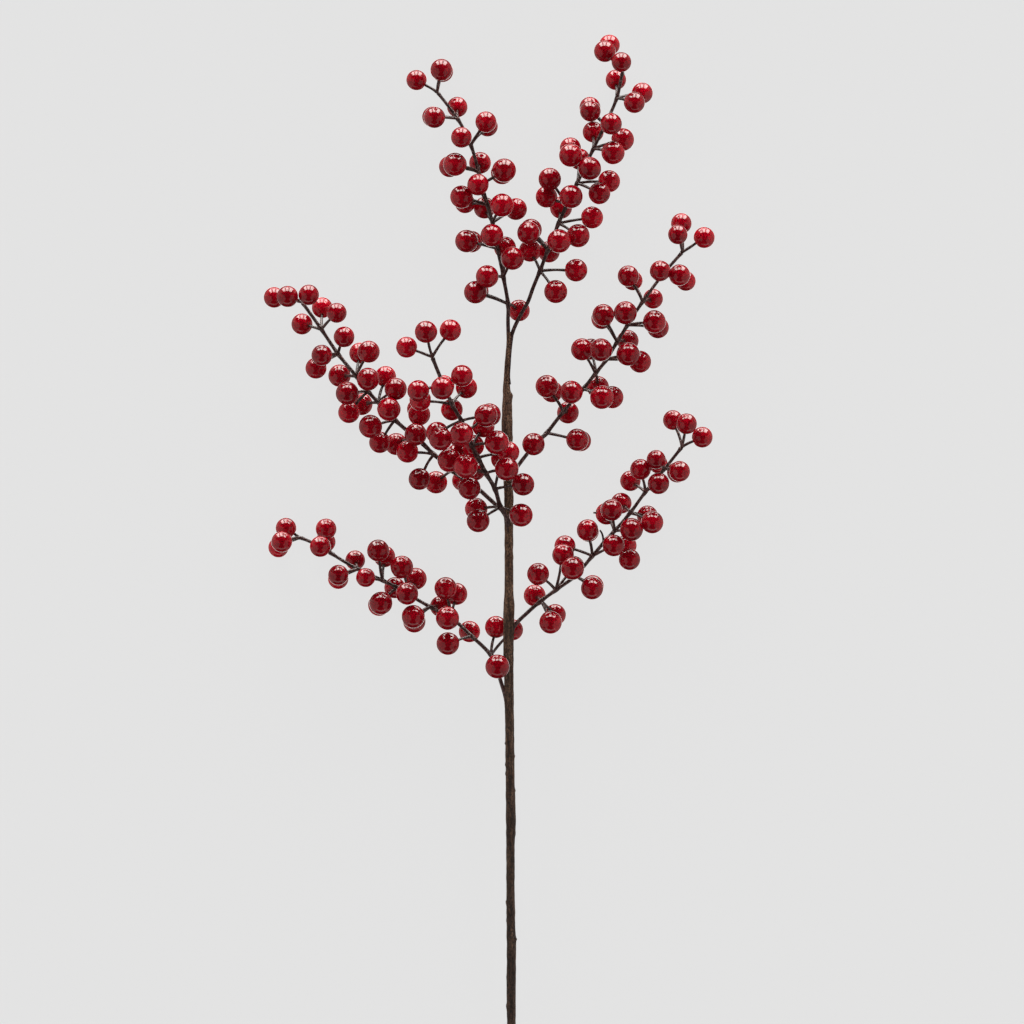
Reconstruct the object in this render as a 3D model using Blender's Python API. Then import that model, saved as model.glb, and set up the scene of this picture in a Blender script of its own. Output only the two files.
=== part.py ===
"""A sprig of red berries that lies on a surface.

A paper-wrapped wire stem carries six sprays of thin twigs, and every twig has round
berries on short stalks, in whorls of about three.

Metres, +Z up. The stem lies along Y with its cut end towards -Y, and the lowest berries
and the stem's end rest on z = 0. The tables give places seen from above on a plan grid:
x runs to the right, y runs towards the cut end, and one step is PLAN_STEP. Diameters
there are in the same steps. A berry's level says how far above its knot it hangs, as a
share of what its stalk can reach.
"""

import math
from collections import namedtuple

import bmesh
import bpy
import numpy as np
from mathutils import Matrix, Vector

# Edges sharper than these angles in degrees stay sharp, and a direction this close to
# upright takes another axis to start from
STEM_EDGE = 50
SPRAY_EDGE = 60
UPRIGHT = 0.9

# Size and place of the plan grid
PLAN_STEP = 0.00055
PLAN_CENTRE = (489.175, 672.3)

# Berries and stalks
BERRY_REACH = 0.0165
BERRY_GAP = 0.0004
STALK_RADIUS = 0.0006
STALK_SIDES = 3
STALK_SINK = 0.4
LEAST_DROP = 0.002
FRONT, SIDE, LOW, BACK, DEEP, UNDER = 1.0, 0.0, -0.45, -1.0, -1.35, -4.0

# Twigs
TWIG_ROOT_RADIUS = 0.00095
TWIG_TIP_RADIUS = 0.00080
KNOT_SWELL = 1.25
TWIG_SIDES = 5
TWIG_SPANS = 2
ROOT_LENGTH = 12
ROOT_SINK = 0.0005
GROOVE_POINTS = 5

# Stem and the wire in it
STEM_SIDES = 10
STEM_SLOPE = 0.0467
WIRE_RADIUS = 0.00075
WIRE_SIDES = 8
WIRE_TOP_Y = 410
WIRE_END_Y = 1310
BORE_PAST_TOP = 1
BORE_PAST_END = 4
CLEARANCE = 0.0003

# Settling of the berries among each other
SETTLE_STEPS = 400
SETTLE_SHARE = 0.6
SOLID_SPACING = 0.002
LEVEL_TIE = 0.00001

# Stem stations: y, the middle's x and the width, from the top end to the cut end
STEM_STATIONS = (
    (386, 506.6, 7.2),
    (391, 506.7, 7.6),
    (395, 507.4, 8.8),
    (405, 507.2, 10.0),
    (412, 507.2, 10.6),
    (430, 507.1, 11.1),
    (452, 507.4, 10.6),
    (470, 507.8, 9.3),
    (482, 507.8, 8.4),
    (497, 509.0, 9.6),
    (505, 508.9, 9.0),
    (560, 508.9, 8.7),
    (585, 509.1, 8.7),
    (596, 509.0, 9.6),
    (606, 509.2, 11.3),
    (617, 508.8, 11.1),
    (645, 508.5, 10.3),
    (680, 508.9, 9.6),
    (705, 509.2, 9.1),
    (720, 509.6, 8.7),
    (785, 510.3, 9.1),
    (815, 510.9, 9.9),
    (826, 511.1, 9.7),
    (842, 510.5, 8.4),
    (880, 510.4, 8.3),
    (900, 510.6, 8.7),
    (935, 511.0, 8.9),
    (942, 511.4, 9.4),
    (985, 511.1, 9.2),
    (1020, 511.3, 9.1),
    (1170, 512.9, 9.3),
    (1308, 514.0, 9.5),
)

# A spray leaves the stem at root_y, on the side that root_angle gives in degrees from
# the right over the top. tip_z and arch shape its height in metres. Each row of whorls
# is a point on the twig and the berries that grow there: x, y, diameter and level. A row
# with no berries is a bend.
Spray = namedtuple("Spray", "name root_y root_angle tip_z arch whorls")

TOP_LEFT_WHORLS = (
    ((508.0, 320),),
    ((508.0, 304), (475.4, 292.4, 22.5, FRONT), (478, 291, 21, BACK), (519, 310.3, 21.5, BACK)),
    ((503.5, 277.5), (487.2, 276.8, 22.4, FRONT), (512.5, 258.8, 22.7, FRONT), (505, 247.5, 22, BACK)),
    ((497.7, 249), (466.5, 241.2, 22.5, FRONT), (471.5, 241.5, 21.5, BACK), (492, 235.7, 22.5, FRONT)),
    ((492.5, 223), (502, 205.5, 23, FRONT), (516, 209, 21.8, BACK), (484.5, 207.5, 21.5, BACK)),
    ((487.5, 205), (461.6, 197, 22.5, FRONT), (465, 203, 20, BACK), (478, 185, 21.2, FRONT)),
    ((482, 185), (504.2, 170.5, 23.5, FRONT), (502, 173, 22, BACK)),
    ((478.5, 171.5), (455, 164.6, 23, FRONT), (449.5, 166.5, 21, BACK), (480, 162.5, 21.7, BACK)),
    ((470.8, 145), (485.9, 122.1, 20.8, FRONT), (487.5, 126, 20.3, BACK), (461.4, 137.8, 20.5, FRONT)),
    ((457.5, 118.5), (434.5, 117.7, 21, FRONT), (432.5, 116.5, 20.5, BACK), (457.2, 106.5, 20.3, BACK)),
    ((437.2, 92), (416.5, 80, 20, SIDE), (441.4, 70, 21.5, FRONT), (442.5, 71, 21, BACK)),
)

TOP_RIGHT_WHORLS = (
    ((513, 331),),
    ((519.5, 317),),
    ((527.7, 302.6),),
    ((533.8, 286),),
    ((540, 271), (576, 270.3, 22.5, SIDE), (555.7, 291.8, 23, FRONT), (530, 250.5, 22, BACK)),
    ((547.8, 250), (528.4, 233, 22.3, FRONT), (531, 229.5, 21.5, BACK), (559, 241.5, 23.3, FRONT),
     (549, 251.5, 21.5, BACK)),
    ((558.5, 223.5), (592, 217.5, 22, SIDE), (578, 236, 23, FRONT), (561, 207.5, 22, BACK)),
    ((566.5, 206), (549.8, 179.3, 22.4, FRONT), (546.5, 196.8, 21.5, SIDE), (571, 197, 23, FRONT)),
    ((577, 183.5), (609, 181.2, 22, BACK), (599.3, 193.5, 21.7, FRONT), (579.5, 159, 21, BACK)),
    ((587, 162.5), (589.5, 168.8, 22.8, FRONT), (570.5, 147.5, 21, BACK), (570.5, 155.8, 22.7, FRONT)),
    ((593.3, 149), (622.7, 139.5, 22.6, BACK), (613, 153, 23, FRONT), (593.3, 131.5, 21, BACK)),
    ((604.5, 126), (590, 107, 20.7, BACK), (590.2, 111.5, 20.4, FRONT), (611, 124.3, 21.3, FRONT)),
    ((616.8, 98), (642.3, 92.7, 20.8, BACK), (634.2, 103, 20.8, FRONT), (616, 79.3, 20.3, BACK)),
    ((622.5, 72), (609.5, 44.8, 20.5, BACK), (604.7, 51.5, 21.2, FRONT), (621.3, 62.5, 19.5, FRONT)),
)

RIGHT_UPPER_WHORLS = (
    ((519, 464.5),),
    ((528, 453),),
    ((546.6, 433), (533.5, 444.3, 22.3, FRONT), (577.2, 439.8, 22, FRONT), (580.5, 440.8, 21, BACK)),
    ((563.3, 411.6), (546.8, 386.3, 22.5, FRONT), (552, 391.5, 21.5, BACK), (568, 412.5, 21.7, BACK)),
    ((583, 389), (601.7, 397.5, 23.2, FRONT), (612.2, 397.2, 22.2, BACK), (571.3, 392.2, 22.7, FRONT)),
    ((595.5, 373.5), (582, 349.5, 22, FRONT), (591, 349, 21, BACK), (598, 387, 22, BACK)),
    ((606.5, 359.5), (628, 354.3, 23, FRONT), (640, 361.7, 22, BACK), (600.8, 350, 22.5, FRONT)),
    ((617, 342), (603.3, 315, 21.8, FRONT), (601.8, 318.5, 20.8, BACK), (628, 340.5, 21.5, BACK)),
    ((627.5, 325), (654.3, 321.8, 22.5, FRONT), (658, 327.5, 21.5, BACK), (625.3, 313, 22.8, FRONT)),
    ((642.5, 302), (628.2, 276, 21, FRONT), (632.8, 280.3, 19.6, BACK), (653.2, 298.5, 19.7, BACK)),
    ((664, 273), (660, 271.2, 20.5, FRONT), (679.3, 275.2, 21, FRONT), (686, 280.8, 19.5, BACK)),
    ((682.5, 252), (681.4, 223.3, 20.4, BACK), (677.6, 234.8, 19.2, FRONT), (704.2, 237.5, 20.8, SIDE)),
)

LEFT_UPPER_WHORLS = (
    ((497.5, 506.5),),
    ((487.5, 497),),
    ((479, 489.5),),
    ((468, 482), (469.4, 488.2, 22.3, FRONT), (462.5, 480.5, 21, BACK)),
    ((452, 470.5), (449.5, 460.3, 23.5, FRONT), (436, 482.3, 22.3, BACK)),
    ((434, 454.5), (419.5, 479, 21.7, FRONT), (407.5, 451.7, 22, SIDE), (415.8, 434.4, 22.2, FRONT)),
    ((415, 437.5), (396, 444, 22, BACK), (419.3, 414.5, 22, SIDE), (417.5, 409, 21, BACK)),
    ((395, 420), (370.6, 426.5, 23, FRONT), (379.8, 442.3, 21.3, BACK), (389, 409.3, 23, FRONT)),
    ((378.5, 402.5), (361.3, 404, 22, BACK), (385.5, 376.5, 21, BACK), (395.8, 389, 22.1, FRONT)),
    ((368, 391.5), (347.3, 393.3, 22.7, FRONT), (349, 412.3, 21.5, SIDE), (368.3, 379.3, 22.5, FRONT)),
    ((356.5, 376.5), (359.5, 353, 20.8, BACK), (368.8, 351.8, 21.8, FRONT), (339.3, 375.5, 22.2, BACK)),
    ((338, 354), (344.2, 337, 20.5, FRONT), (322, 355.3, 20.5, FRONT), (315.8, 368, 21, BACK)),
    ((321.5, 329.5), (336.8, 313, 19.8, FRONT), (322, 307.5, 20.5, BACK), (301.7, 323.8, 20.9, BACK)),
    ((302, 302), (309, 295, 20.2, FRONT), (287.7, 296.6, 21, FRONT), (274, 297.3, 20.5, BACK)),
)

MIDDLE_WHORLS = (
    ((500.5, 507), (476.2, 509, 22.4, BACK), (478.2, 520.8, 22.7, FRONT), (521.1, 515.1, 23.1, FRONT)),
    ((495, 489), (523.1, 484.5, 22.3, FRONT), (501.5, 459, 21, BACK)),
    ((486, 473.5), (506.8, 469, 23.4, FRONT), (465.9, 466.2, 24, FRONT), (475, 470, 21, BACK)),
    ((478.3, 458), (508.5, 452.5, 21.5, BACK), (473.5, 446, 21.5, LOW), (457, 455, 22, DEEP)),
    ((472, 446), (496.8, 442.7, 23.8, FRONT), (483.5, 426.5, 22, BACK), (460, 436.5, 22, BACK)),
    ((466.5, 433.5), (489.3, 415, 22.8, BACK), (440.8, 439, 22.8, FRONT), (461.8, 434.3, 23, FRONT)),
    ((461.5, 421), (485.8, 415.8, 22.3, FRONT), (437.5, 433, 22, BACK)),
    ((452.3, 404.5), (420.6, 400.5, 21.3, SIDE), (466.6, 388, 21.2, BACK), (452, 409.8, 21.6, BACK)),
    ((444, 386), (418.6, 391.3, 21.3, FRONT), (462.1, 376.3, 21.5, FRONT), (442.5, 388.8, 22.4, FRONT),
     (444, 386, 21, BACK)),
    ((432.5, 357.5), (407, 347.7, 20.8, SIDE), (426.3, 332.5, 22, FRONT), (450.5, 330.8, 21.4, SIDE)),
)

LEFT_LOWER_WHORLS = (
    ((500.3, 680),),
    ((496, 665),),
    ((491, 655), (496.0, 627, 21.9, BACK), (512.5, 630, 21, UNDER), (497.3, 666.4, 23.7, FRONT)),
    ((471.5, 636), (447.9, 643.5, 22.5, FRONT), (469.4, 631.7, 21.3, BACK)),
    ((452, 618.5), (445.7, 588.3, 22.4, FRONT), (456.3, 594, 22, BACK), (447.6, 618, 23, FRONT)),
    ((430.5, 607), (413.3, 616.4, 22.7, FRONT), (414.2, 621.5, 22.3, BACK), (440.5, 606.5, 21, BACK)),
    ((411, 596), (401.9, 567, 22.5, FRONT), (415.6, 578.8, 21.8, BACK), (407.2, 593.5, 22, FRONT)),
    ((397, 587.5), (381, 603, 22.7, FRONT), (379, 605, 22, BACK), (394.7, 587.8, 21, BACK)),
    ((382.5, 580.5), (378.2, 550.5, 21.9, FRONT), (384.4, 556.5, 21.4, BACK), (365.8, 577.5, 18.8, FRONT)),
    ((358, 569), (338.4, 574.9, 19.9, FRONT), (338, 578.8, 20.3, BACK), (355, 560.3, 19.6, BACK)),
    ((345, 562),),
    ((330.5, 553), (326, 529, 20.6, SIDE), (325, 542, 20.5, BACK), (320.4, 546.5, 20.6, FRONT)),
    ((313, 543),),
    ((300, 537.5), (285.9, 528.2, 20.4, SIDE), (281.9, 541.7, 20.5, FRONT), (278.2, 547.3, 20, BACK)),
)

RIGHT_LOWER_WHORLS = (
    ((530.2, 610.1),),
    ((540.8, 601.1), (550.5, 622.3, 22.4, FRONT), (555.2, 614.8, 21.3, BACK), (534.7, 595.6, 21.8, BACK)),
    ((555.7, 590.1), (538.1, 573.9, 21.9, FRONT), (563, 554.8, 21.5, FRONT), (573.5, 567, 22, BACK)),
    ((575, 576), (592, 588.3, 22, FRONT), (592.7, 586.2, 22, BACK), (572.6, 568.3, 22.8, FRONT)),
    ((592.5, 556), (565, 546, 21, BACK), (587.5, 530, 21.3, FRONT), (588.5, 531.5, 20.5, BACK),
     (613.5, 545.5, 21.5, FRONT)),
    ((606, 540), (626, 545.5, 21.3, BACK), (629.5, 559.4, 21.2, FRONT)),
    ((614.5, 531), (611.5, 510, 21.5, FRONT), (606.5, 513.7, 21.8, BACK), (631.4, 529.5, 22.7, FRONT)),
    ((630, 513), (647.5, 516, 20.8, BACK), (652.2, 522.3, 22, FRONT), (621.3, 503.2, 20.8, BACK)),
    ((645.5, 492), (640.4, 469.4, 20.6, FRONT), (630.5, 480.8, 20.4, BACK), (658.4, 483.5, 21.2, FRONT)),
    ((664.5, 469), (656, 459.5, 18.8, FRONT), (658.3, 463.8, 18.8, BACK), (679.5, 471.4, 20.5, FRONT),
     (677.5, 472.2, 20.5, BACK)),
    ((682, 447), (673, 420, 19.6, BACK), (686.4, 423.8, 20.5, FRONT), (702.3, 437.2, 20.6, SIDE)),
)

SIDE_SPRAYS = (
    Spray("spray_right_upper", 475, 5, 0.0185, 0.001, RIGHT_UPPER_WHORLS),
    Spray("spray_left_upper", 514, 180, 0.0182, 0.000, LEFT_UPPER_WHORLS),
    Spray("spray_middle", 520, 112, 0.0570, 0.008, MIDDLE_WHORLS),
    Spray("spray_left_lower", 694, 180, 0.0170, 0.002, LEFT_LOWER_WHORLS),
    Spray("spray_right_lower", 627, 0, 0.0180, 0.001, RIGHT_LOWER_WHORLS),
)

# The top fork's leader stands in a socket in the stem's top end, and both arms start inside
# its upper end. Its points give the middle's x, y and the width.
LEADER = ((506.6, 378, 5.5), (507.3, 366, 5.7), (508.2, 355, 5.2), (508.9, 344, 5.2), (508.8, 332, 3.6))
LEADER_WIDTH = 5.4
SOCKET_DEPTH = 14
LEFT_ARM_START = (508.6, 343)
RIGHT_ARM_START = (508.9, 345)
FORK_TIP_Z = 0.0185

Twig = namedtuple("Twig", "points radii")
Berry = namedtuple("Berry", "spray knot x y radius level")


def plan(x, y, z=0.0):
    """The place in metres of a point on the plan grid."""
    return Vector(((x - PLAN_CENTRE[0]) * PLAN_STEP, (PLAN_CENTRE[1] - y) * PLAN_STEP, z))


def stem_at(y):
    """The stem's axis point and its radius at plan y."""
    rows = np.array(STEM_STATIONS)
    middle = np.interp(y, rows[:, 0], rows[:, 1])
    radius = np.interp(y, rows[:, 0], rows[:, 2]) * PLAN_STEP / 2
    end_y, _, end_width = STEM_STATIONS[-1]
    end_height = end_width * PLAN_STEP / 2 * math.cos(math.pi / STEM_SIDES)
    height = end_height + STEM_SLOPE * (end_y - y) * PLAN_STEP
    return plan(middle, y, height), radius


def stem_side(y, degrees, radius):
    """Where a twig of this radius lies along the stem, sunk a little into its side."""
    axis, stem_radius = stem_at(y)
    reach = stem_radius + radius - ROOT_SINK
    angle = math.radians(degrees)
    return axis + Vector((math.cos(angle), 0.0, math.sin(angle))) * reach


def heights_along(flat_points, root_z, tip_z, arch):
    """A height for each point, by its share of the way along the twig."""
    steps = [(b - a).length for a, b in zip(flat_points, flat_points[1:])]
    walked = np.concatenate(([0.0], np.cumsum(steps)))
    share = walked / walked[-1]
    return root_z + (tip_z - root_z) * share + 4 * arch * share * (1 - share)


def smooth_path(points, spans):
    """Points on a smooth curve through the given ones, with this many spans between two."""
    chord = [(b - a).length for a, b in zip(points, points[1:])]
    slopes = []
    for i in range(len(points)):
        low, high = max(i - 1, 0), min(i + 1, len(points) - 1)
        slopes.append((points[high] - points[low]) / sum(chord[low:high]))
    path = []
    for i, length in enumerate(chord):
        for step in range(spans):
            t = step / spans
            path.append(
                points[i] * (2 * t**3 - 3 * t**2 + 1)
                + points[i + 1] * (3 * t**2 - 2 * t**3)
                + slopes[i] * length * (t**3 - 2 * t**2 + t)
                + slopes[i + 1] * length * (t**3 - t**2)
            )
    return path + [points[-1].copy()]


def twig_along(controls, knots):
    """A twig through its control points, a little thicker at each knot."""
    points = smooth_path(controls, TWIG_SPANS)
    radii = []
    for i in range(len(points)):
        radius = TWIG_ROOT_RADIUS + (TWIG_TIP_RADIUS - TWIG_ROOT_RADIUS) * i / (len(points) - 1)
        at_knot = i % TWIG_SPANS == 0 and i // TWIG_SPANS in knots
        radii.append(radius * KNOT_SWELL if at_knot else radius)
    return Twig(points, radii)


def grow(spray_name, lead, whorls, tip_z, arch):
    """The twig of one arm and its berries, before they settle."""
    flat = [Vector((lead[-1].x, lead[-1].y, 0.0))] + [plan(*row[0]) for row in whorls]
    heights = heights_along(flat, lead[-1].z, tip_z, arch)
    for point, z in zip(flat, heights):
        point.z = z
    controls = lead[:-1] + flat
    first = len(lead)
    knots = {first + i for i, row in enumerate(whorls) if len(row) > 1}
    twig = twig_along(controls, knots)
    berries = []
    for i, row in enumerate(whorls):
        for x, y, width, level in row[1:]:
            spot = plan(x, y)
            berries.append(Berry(spray_name, controls[first + i], spot.x, spot.y, width * PLAN_STEP / 2, level))
    return twig, berries


def along_segments(points, radii):
    """Points spaced closely along a path, each with its radius."""
    spaced = []
    for a, b, radius_a, radius_b in zip(points, points[1:], radii, radii[1:]):
        count = math.ceil((b - a).length / SOLID_SPACING)
        for step in range(count):
            share = step / count
            spaced.append((*a.lerp(b, share), radius_a + (radius_b - radius_a) * share))
    return spaced


def berry_heights(berries, solids):
    """Heights at which the berries hang clear of the floor, each other, the twigs and the stem.

    A berry only moves up or down, so the plan stays as it is.
    """
    flat = np.array([(b.x, b.y) for b in berries])
    radius = np.array([b.radius for b in berries])
    level = np.array([b.level for b in berries])
    knot = np.array([tuple(b.knot) for b in berries])
    reach = np.linalg.norm(flat - knot[:, :2], axis=1)
    z = knot[:, 2] + level * np.sqrt(np.maximum(BERRY_REACH**2 - reach**2, LEAST_DROP**2))
    z = np.maximum(z, radius)

    apart = np.linalg.norm(flat[:, None] - flat[None], axis=2)
    need = np.sqrt(np.maximum((radius[:, None] + radius[None] + BERRY_GAP) ** 2 - apart**2, 0.0))
    np.fill_diagonal(need, 0.0)
    order = np.sign(z[:, None] - z[None] + LEVEL_TIE * (level[:, None] - level[None]))

    solids = np.array(solids)
    beside = np.linalg.norm(flat[:, None] - solids[None, :, :2], axis=2)
    clear = np.sqrt(np.maximum((radius[:, None] + solids[None, :, 3] + BERRY_GAP) ** 2 - beside**2, 0.0))
    over = np.where(z[:, None] >= solids[None, :, 2], 1.0, -1.0)

    for _ in range(SETTLE_STEPS):
        from_berries = 0.5 * order * np.maximum(need - order * (z[:, None] - z[None]), 0.0)
        from_solids = over * np.maximum(clear - over * (z[:, None] - solids[None, :, 2]), 0.0)
        push = np.hstack((np.where(need > 0, from_berries, 0.0), np.where(clear > 0, from_solids, 0.0)))
        lift = np.maximum(push, 0.0).max(axis=1) + np.minimum(push, 0.0).min(axis=1)
        z = np.maximum(z + SETTLE_SHARE * lift, radius)
    return z


def mesh_object(name, vertices, faces, material=None):
    """An object in the scene with these vertices and faces."""
    mesh = bpy.data.meshes.new(name)
    mesh.from_pydata([tuple(v) for v in vertices], [], faces)
    if material:
        mesh.materials.append(material)
    return link(name, mesh)


def link(name, mesh):
    """An object in the scene with this mesh."""
    made = bpy.data.objects.new(name, mesh)
    bpy.context.scene.collection.objects.link(made)
    return made


def tube_faces(ring_count, sides):
    """Faces of a closed tube whose rings follow each other in the list of vertices."""
    faces = [tuple(reversed(range(sides)))]
    for ring in range(ring_count - 1):
        low = ring * sides
        for k in range(sides):
            after = (k + 1) % sides
            faces.append((low + k, low + after, low + sides + after, low + sides + k))
    last = (ring_count - 1) * sides
    faces.append(tuple(range(last, last + sides)))
    return faces


def tube(name, points, radii, sides, material=None):
    """A closed tube with flat ends along the points."""
    vertices = []
    across = Vector((0.0, 0.0, 1.0))
    for i, (point, radius) in enumerate(zip(points, radii)):
        along = (points[min(i + 1, len(points) - 1)] - points[max(i - 1, 0)]).normalized()
        if i == 0 and abs(along.z) > UPRIGHT:
            across = Vector((1.0, 0.0, 0.0))
        across = (across - along * across.dot(along)).normalized()
        beside = along.cross(across)
        for k in range(sides):
            angle = 2 * math.pi * k / sides
            vertices.append(point + (across * math.cos(angle) + beside * math.sin(angle)) * radius)
    return mesh_object(name, vertices, tube_faces(len(points), sides), material)


def ball(name, centre, radius, material):
    """A berry: an octahedron split once, so it has its full size along every axis."""
    mesh = bpy.data.meshes.new(name)
    shape = bmesh.new()
    bmesh.ops.create_uvsphere(shape, u_segments=4, v_segments=2, radius=radius)
    bmesh.ops.subdivide_edges(shape, edges=shape.edges, cuts=1, use_grid_fill=True)
    for vertex in shape.verts:
        vertex.co = centre + vertex.co.normalized() * radius
    shape.to_mesh(mesh)
    shape.free()
    mesh.materials.append(material)
    return link(name, mesh)


def combine(body, others, operation):
    """Applies one Boolean of the body with all the others, and removes the others."""
    group = bpy.data.collections.new(body.name + "_others")
    bpy.context.scene.collection.children.link(group)
    for other in others:
        bpy.context.scene.collection.objects.unlink(other)
        group.objects.link(other)
    boolean = body.modifiers.new("combine", "BOOLEAN")
    boolean.operation = operation
    boolean.operand_type = "COLLECTION"
    boolean.collection = group
    boolean.solver = "EXACT"
    boolean.material_mode = "TRANSFER"
    graph = bpy.context.evaluated_depsgraph_get()
    joined = bpy.data.meshes.new_from_object(body.evaluated_get(graph))
    body.modifiers.remove(boolean)
    body.data = joined
    for other in others:
        bpy.data.objects.remove(other)
    bpy.data.collections.remove(group)


def finish_piece(obj, origin, smooth_below):
    """Shades the piece smooth and puts its origin at the given place."""
    obj.data.shade_smooth()
    obj.data.set_sharp_from_angle(angle=math.radians(smooth_below))
    obj.data.transform(Matrix.Translation(-origin))
    obj.location = origin


def principled(name, colour, roughness, metallic=0.0, coat=0.0):
    """A plain material of one colour."""
    material = bpy.data.materials.new(name)
    material.use_nodes = True
    shader = material.node_tree.nodes["Principled BSDF"]
    shader.inputs["Base Color"].default_value = (*colour, 1.0)
    shader.inputs["Roughness"].default_value = roughness
    shader.inputs["Metallic"].default_value = metallic
    shader.inputs["Coat Weight"].default_value = coat
    material.diffuse_color = (*colour, 1.0)
    return material


def make_stem(roots, paper):
    """The wrapped stem, with the wire's bore, a socket for the fork and a groove for each root."""
    vertices = []
    for y, _, _ in STEM_STATIONS:
        axis, radius = stem_at(y)
        for k in range(STEM_SIDES):
            angle = 2 * math.pi * k / STEM_SIDES
            vertices.append(axis + Vector((math.cos(angle), 0.0, math.sin(angle))) * radius)
    stem = mesh_object("main_stem", vertices, tube_faces(len(STEM_STATIONS), STEM_SIDES), paper)
    # These rings turn the other way round than a tube's, so the faces are turned outwards
    stem.data.flip_normals()

    bore_path = stem_axis(WIRE_TOP_Y - BORE_PAST_TOP, WIRE_END_Y + BORE_PAST_END)
    bore = tube("bore", bore_path, [WIRE_RADIUS + CLEARANCE] * len(bore_path), WIRE_SIDES)
    floor, mouth = socket_ends()
    socket_radius = LEADER_WIDTH * PLAN_STEP / 2 + CLEARANCE
    socket = tube("socket", [floor, mouth, mouth * 2 - floor], [socket_radius] * 3, WIRE_SIDES)
    cutters = [bore, socket]
    for i, root in enumerate(roots):
        start = root.points[0] + (root.points[0] - root.points[1]).normalized() * CLEARANCE
        points = [start] + root.points[1:GROOVE_POINTS]
        radii = [radius + CLEARANCE for radius in root.radii[:GROOVE_POINTS]]
        cutters.append(tube(f"groove_{i}", points, radii, TWIG_SIDES))
    combine(stem, cutters, "DIFFERENCE")
    finish_piece(stem, stem_at(WIRE_END_Y)[0], STEM_EDGE)
    return stem


def stem_axis(start_y, end_y):
    """The stem's axis between two places, with a point at each station."""
    between = [y for y, _, _ in STEM_STATIONS if start_y < y < end_y]
    return [stem_at(y)[0] for y in (start_y, *between, end_y)]


def socket_ends():
    """The floor and the mouth of the socket in the stem's top end, on its axis."""
    top_y = STEM_STATIONS[0][0]
    return stem_at(top_y + SOCKET_DEPTH)[0], stem_at(top_y)[0]


def make_wire(steel):
    """The straight wire in the stem, up to the cut end."""
    path = stem_axis(WIRE_TOP_Y, WIRE_END_Y)
    wire = tube("stem_wire", path, [WIRE_RADIUS] * len(path), WIRE_SIDES, steel)
    finish_piece(wire, path[-1], STEM_EDGE)
    return wire


def make_leader(brown):
    """The fork's leader, from the socket's floor to where the two arms part."""
    floor, mouth = socket_ends()
    up = (mouth - floor).normalized()
    points = [floor + up * CLEARANCE, mouth]
    points += [plan(x, y, stem_at(y)[0].z) for x, y, _ in LEADER]
    widths = [LEADER_WIDTH] * 2 + [width for _, _, width in LEADER]
    radii = [width * PLAN_STEP / 2 for width in widths]
    return tube("spray_top_fork", points, radii, WIRE_SIDES, brown)


def add_berries(body, twigs, berries, red, brown):
    """Fuses a spray's other twigs, its stalks and its berries with the body."""
    others = []
    for i, twig in enumerate(twigs):
        others.append(tube(f"{body.name}_arm_{i}", twig.points, twig.radii, TWIG_SIDES, brown))
    for i, (berry, z) in enumerate(berries):
        centre = Vector((berry.x, berry.y, z))
        away = centre - berry.knot
        end = berry.knot + away * (1 - STALK_SINK * berry.radius / away.length)
        others.append(tube(f"{body.name}_stalk_{i}", [berry.knot, end], [STALK_RADIUS] * 2, STALK_SIDES, brown))
        others.append(ball(f"{body.name}_berry_{i}", centre, berry.radius, red))
    combine(body, others, "UNION")


def main():
    for obj in list(bpy.data.objects):
        bpy.data.objects.remove(obj)

    red = principled("berry_red", (0.32, 0.008, 0.012), 0.22, coat=0.6)
    brown = principled("twig_brown", (0.045, 0.028, 0.02), 0.6)
    paper = principled("wrap_paper", (0.06, 0.038, 0.026), 0.75)
    steel = principled("wire_steel", (0.45, 0.44, 0.42), 0.35, metallic=1.0)

    side_twigs = []
    berries = []
    for spray in SIDE_SPRAYS:
        lead = [
            stem_side(y, spray.root_angle, TWIG_ROOT_RADIUS) for y in (spray.root_y + ROOT_LENGTH, spray.root_y)
        ]
        twig, grown = grow(spray.name, lead, spray.whorls, spray.tip_z, spray.arch)
        side_twigs.append(twig)
        berries += grown
    arms = []
    for start, whorls in ((LEFT_ARM_START, TOP_LEFT_WHORLS), (RIGHT_ARM_START, TOP_RIGHT_WHORLS)):
        lead = [plan(*start, stem_at(start[1])[0].z)]
        twig, grown = grow("spray_top_fork", lead, whorls, FORK_TIP_Z, 0.0)
        arms.append(twig)
        berries += grown

    solids = []
    for twig in side_twigs + arms:
        solids += along_segments(twig.points, twig.radii)
    stations = [stem_at(y) for y, _, _ in STEM_STATIONS]
    solids += along_segments([axis for axis, _ in stations], [radius for _, radius in stations])
    heights = berry_heights(berries, solids)

    pieces = [make_stem(side_twigs, paper), make_wire(steel)]
    for spray, twig in zip(SIDE_SPRAYS, side_twigs):
        body = tube(spray.name, twig.points, twig.radii, TWIG_SIDES, brown)
        own = [(b, z) for b, z in zip(berries, heights) if b.spray == spray.name]
        add_berries(body, [], own, red, brown)
        finish_piece(body, twig.points[0], SPRAY_EDGE)
        pieces.append(body)
    fork = make_leader(brown)
    own = [(b, z) for b, z in zip(berries, heights) if b.spray == fork.name]
    add_berries(fork, arms, own, red, brown)
    finish_piece(fork, socket_ends()[0], SPRAY_EDGE)
    pieces.append(fork)

    sprig = bpy.data.objects.new("sprig", None)
    bpy.context.scene.collection.objects.link(sprig)
    for piece in pieces:
        piece.parent = sprig


main()
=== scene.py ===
"""The looks of the red berry branch: lacquered berries, tape-wrapped twigs and a paper-wrapped stem.

The plan tables and the rules that place the berries are the part's own, so every piece here
lies where its solid is. Metres, +Z up; the stem lies along Y and the camera looks down on it.
"""

import math
import random
from collections import namedtuple

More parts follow.
